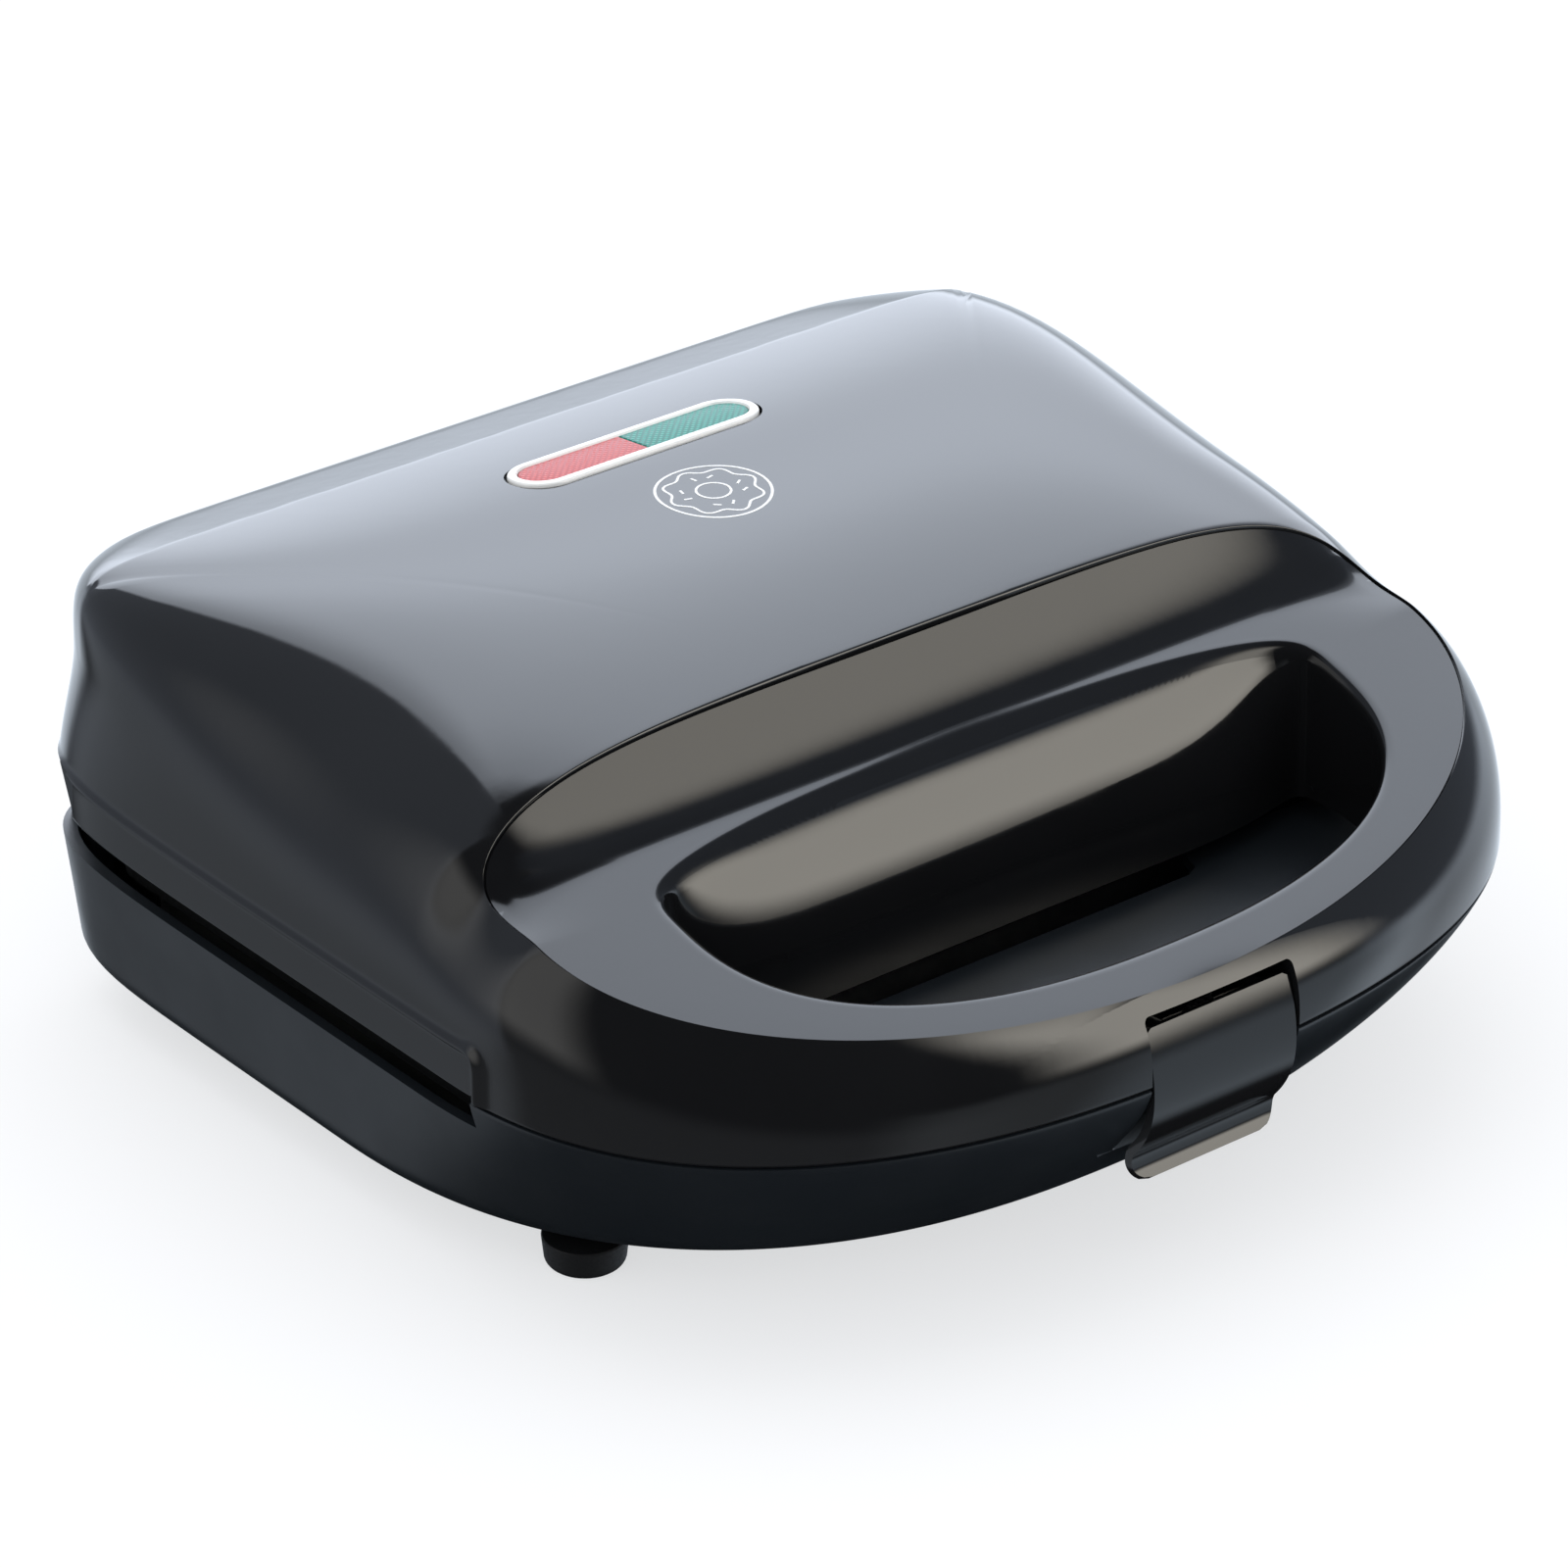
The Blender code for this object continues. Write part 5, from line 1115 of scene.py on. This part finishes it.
for prefix, sign, body in (("lower", -1, "base"), ("upper", 1, "lid")):
    bowls, rings = (join_meshes([maker(place, sign) for place in RING_PLACES])
                    for maker in (bowl_mesh, ring_mesh))
    tray = combine(
        pan_mesh(sign),
        (ADD, bowls),
        (ADD, rods_at_posts(sign * (PLATE_FACE + 0.0004), sign * BOSS_TOP, POST_RADIUS)),
        (CUT, rings),
        (CUT, rods_at_posts(sign * (PLATE_FACE - 0.002), sign * (PLATE_FACE + HEAD_DEPTH),
                            HEAD_RADIUS + 2 * FIT_GAP)),
        (CUT, rods_at_posts(sign * (PLATE_FACE - 0.001), sign * SCREW_BORE_TOP,
                            SCREW_RADIUS + 2 * FIT_GAP, 16)))
    piece(prefix + "_plate_skin", tray, "non_stick", body, [prefix + "_plate"], sharp=40.0)

# ---- feet ----
FOOT_ROUND = 0.0020
FOOT_TAPER = 0.0004
FOOT_CHAMFER = 0.0003
for name, (x, y) in FEET.items():
    top_z = -BASE_DEPTH - FIT_GAP
    floor_z = -PLACE.z
    profile = [(0.0, top_z), (FOOT_RADIUS - 0.0002, top_z), (FOOT_RADIUS, top_z - FOOT_CHAMFER)]
    profile += [(FOOT_RADIUS - FOOT_TAPER * t,
                 top_z - FOOT_CHAMFER + (floor_z + FOOT_ROUND - top_z + FOOT_CHAMFER) * t)
                for t in (0.5, 1.0)]
    for turn in np.radians(np.linspace(0, 90, 9)[1:]):
        profile.append((FOOT_RADIUS - FOOT_TAPER - FOOT_ROUND + FOOT_ROUND * cos(turn),
                        floor_z + FOOT_ROUND - FOOT_ROUND * sin(turn)))
    profile.append((0.0, floor_z))
    piece(name + "_skin", turned_mesh(profile, (x, y)), "rubber", "base", [name])


# ---- stage ----
scene = bpy.context.scene
bm = bmesh.new()
bmesh.ops.create_grid(bm, x_segments=2, y_segments=2, size=6.0)
floor = add_object("floor", as_mesh(bm))
tree, shader = new_finish("floor_paper", (0.36, 0.36, 0.37), 0.9, specular=0.0)
set_inputs(tree, shader, {"Emission Color": (0.98, 0.99, 1.0, 1.0), "Emission Strength": 0.66})
floor.data.materials.append(LOOK["floor_paper"])
floor.visible_glossy = False

world = bpy.data.worlds.new("studio")
scene.world = world
world.use_nodes = True
sky = world.node_tree
plain = sky.nodes["Background"]
set_inputs(sky, plain, {"Color": (0.96, 0.98, 1.0, 1.0), "Strength": 1.0})
toward_sky = add_node(sky, "TexCoord").outputs["Generated"]
axes = add_node(sky, "SeparateXYZ", {0: toward_sky}).outputs
turn_deg = add_math(sky, "ARCTAN2", axes["X"], axes["Y"])
turn_deg = add_math(sky, "MULTIPLY", turn_deg, degrees(1.0))
lift_deg = add_math(sky, "MULTIPLY", add_math(sky, "ARCSINE", axes["Z"]), degrees(1.0))
# azimuth from the rear, 0 to 360 degrees clockwise seen from above
turn_deg = add_math(sky, "MODULO", add_math(sky, "ADD", turn_deg, 360.0), 360.0)

SOFTBOXES = [
    # azimuth from, to, edge softness, elevation from, to, softness, strength, colour
    (4.0, 72.0, 4.0, -1.0, 74.0, 6.0, 2.8, (0.90, 0.975, 1.10)),
    (14.0, 74.0, 20.0, 26.0, 70.0, 22.0, 1.8, (0.90, 0.975, 1.10)),
    (129.0, 159.0, 18.0, 2.0, 52.0, 14.0, 5.0, (1.05, 1.0, 0.90)),
    (112.0, 151.0, 16.0, -48.0, -5.0, 12.0, 0.75, (0.86, 1.0, 1.14)),
    (151.0, 186.0, 20.0, -48.0, -5.0, 12.0, 0.3, (0.92, 1.0, 1.06)),
    (266.0, 302.0, 22.0, -12.0, 58.0, 14.0, 1.05, (1.01, 1.0, 0.97)),
    (298.0, 364.0, 5.0, -22.0, 80.0, 14.0, 0.40, (0.88, 0.98, 1.16)),
    (74.0, 128.0, 6.0, -10.0, 60.0, 14.0, 0.30, (0.85, 0.98, 1.20)),
    (0.0, 122.0, 16.0, -34.0, -1.0, 10.0, 1.1, (0.90, 1.0, 1.12)),
    (170.0, 320.0, 30.0, -48.0, -16.0, 16.0, 0.15, (0.95, 1.0, 1.06)),
    (300.0, 350.0, 16.0, -50.0, -20.0, 12.0, 0.34, (0.90, 0.99, 1.10)),
]


def soft_step(source, at, soft, start, end):
    return map_range(sky, source, start, end, at - soft / 2, at + soft / 2, "SMOOTHSTEP")


shown_light = None
for low, high, soft, floor_at, top_at, soft_up, strength, color in SOFTBOXES:
    # signed distance from the middle azimuth, -180 to 180
    away = add_math(sky, "ADD", turn_deg, 540.0 - (low + high) / 2)
    away = add_math(sky, "SUBTRACT", add_math(sky, "MODULO", away, 360.0), 180.0)
    across = soft_step(add_math(sky, "ABSOLUTE", away), (high - low) / 2, soft, 1.0, 0.0)
    rise = soft_step(lift_deg, floor_at, soft_up, 0.0, 1.0)
    drop = soft_step(lift_deg, top_at, soft_up, 1.0, 0.0)
    mask = add_math(sky, "MULTIPLY", across, add_math(sky, "MULTIPLY", rise, drop))
    power = add_math(sky, "MULTIPLY", mask, strength)
    glow = add_node(sky, "Background", {"Color": (*color, 1.0), "Strength": power}).outputs[0]
    shown_light = glow if shown_light is None else \
        add_node(sky, "AddShader", {0: shown_light, 1: glow}).outputs[0]
# glossy rays see the softboxes; every other ray sees the even pale room
glossy_ray = add_node(sky, "LightPath").outputs["Is Glossy Ray"]
room = add_node(sky, "MixShader", {0: glossy_ray, 1: plain.outputs[0], 2: shown_light})
set_inputs(sky, sky.nodes["World Output"], {"Surface": room.outputs[0]})

LIGHT_PLACE = Vector((0.1, 0.3, 1.3))
LIGHT_AIM = Vector((0.0, 0.0, 0.05))
light = bpy.data.lights.new("overhead", "AREA")
light.shape = "RECTANGLE"
light.size = 1.4
light.size_y = 1.2
light.energy = 4.0
overhead = add_object("overhead", light)
overhead.location = LIGHT_PLACE
overhead.rotation_euler = (LIGHT_AIM - LIGHT_PLACE).to_track_quat("-Z", "Y").to_euler()
overhead.visible_camera = False
overhead.visible_glossy = False

CAMERA_AZIMUTH = radians(-38.811)
CAMERA_ELEVATION = radians(28.251)
CAMERA_DISTANCE = 1.30749
CAMERA_AIM = Vector((0.000528, 0.0, 0.002445))
sin_a, cos_a = sin(CAMERA_AZIMUTH), cos(CAMERA_AZIMUTH)
sin_e, cos_e = sin(CAMERA_ELEVATION), cos(CAMERA_ELEVATION)
toward = Vector((sin_a * cos_e, -cos_a * cos_e, sin_e))
right = Vector((cos_a, sin_a, 0.0))
upward = Vector((-sin_a * sin_e, cos_a * sin_e, cos_e))
camera_data = bpy.data.cameras.new("camera")
camera_data.lens = 158.43
camera_data.sensor_width = 36.0
camera_data.clip_start = 0.05
camera_data.clip_end = 50.0
camera = add_object("camera", camera_data)
camera.matrix_world = Matrix.Translation(PLACE + CAMERA_AIM + CAMERA_DISTANCE * toward) \
    @ Matrix((right, upward, toward)).transposed().to_4x4()
scene.camera = camera
scene.view_settings.view_transform = "Standard"
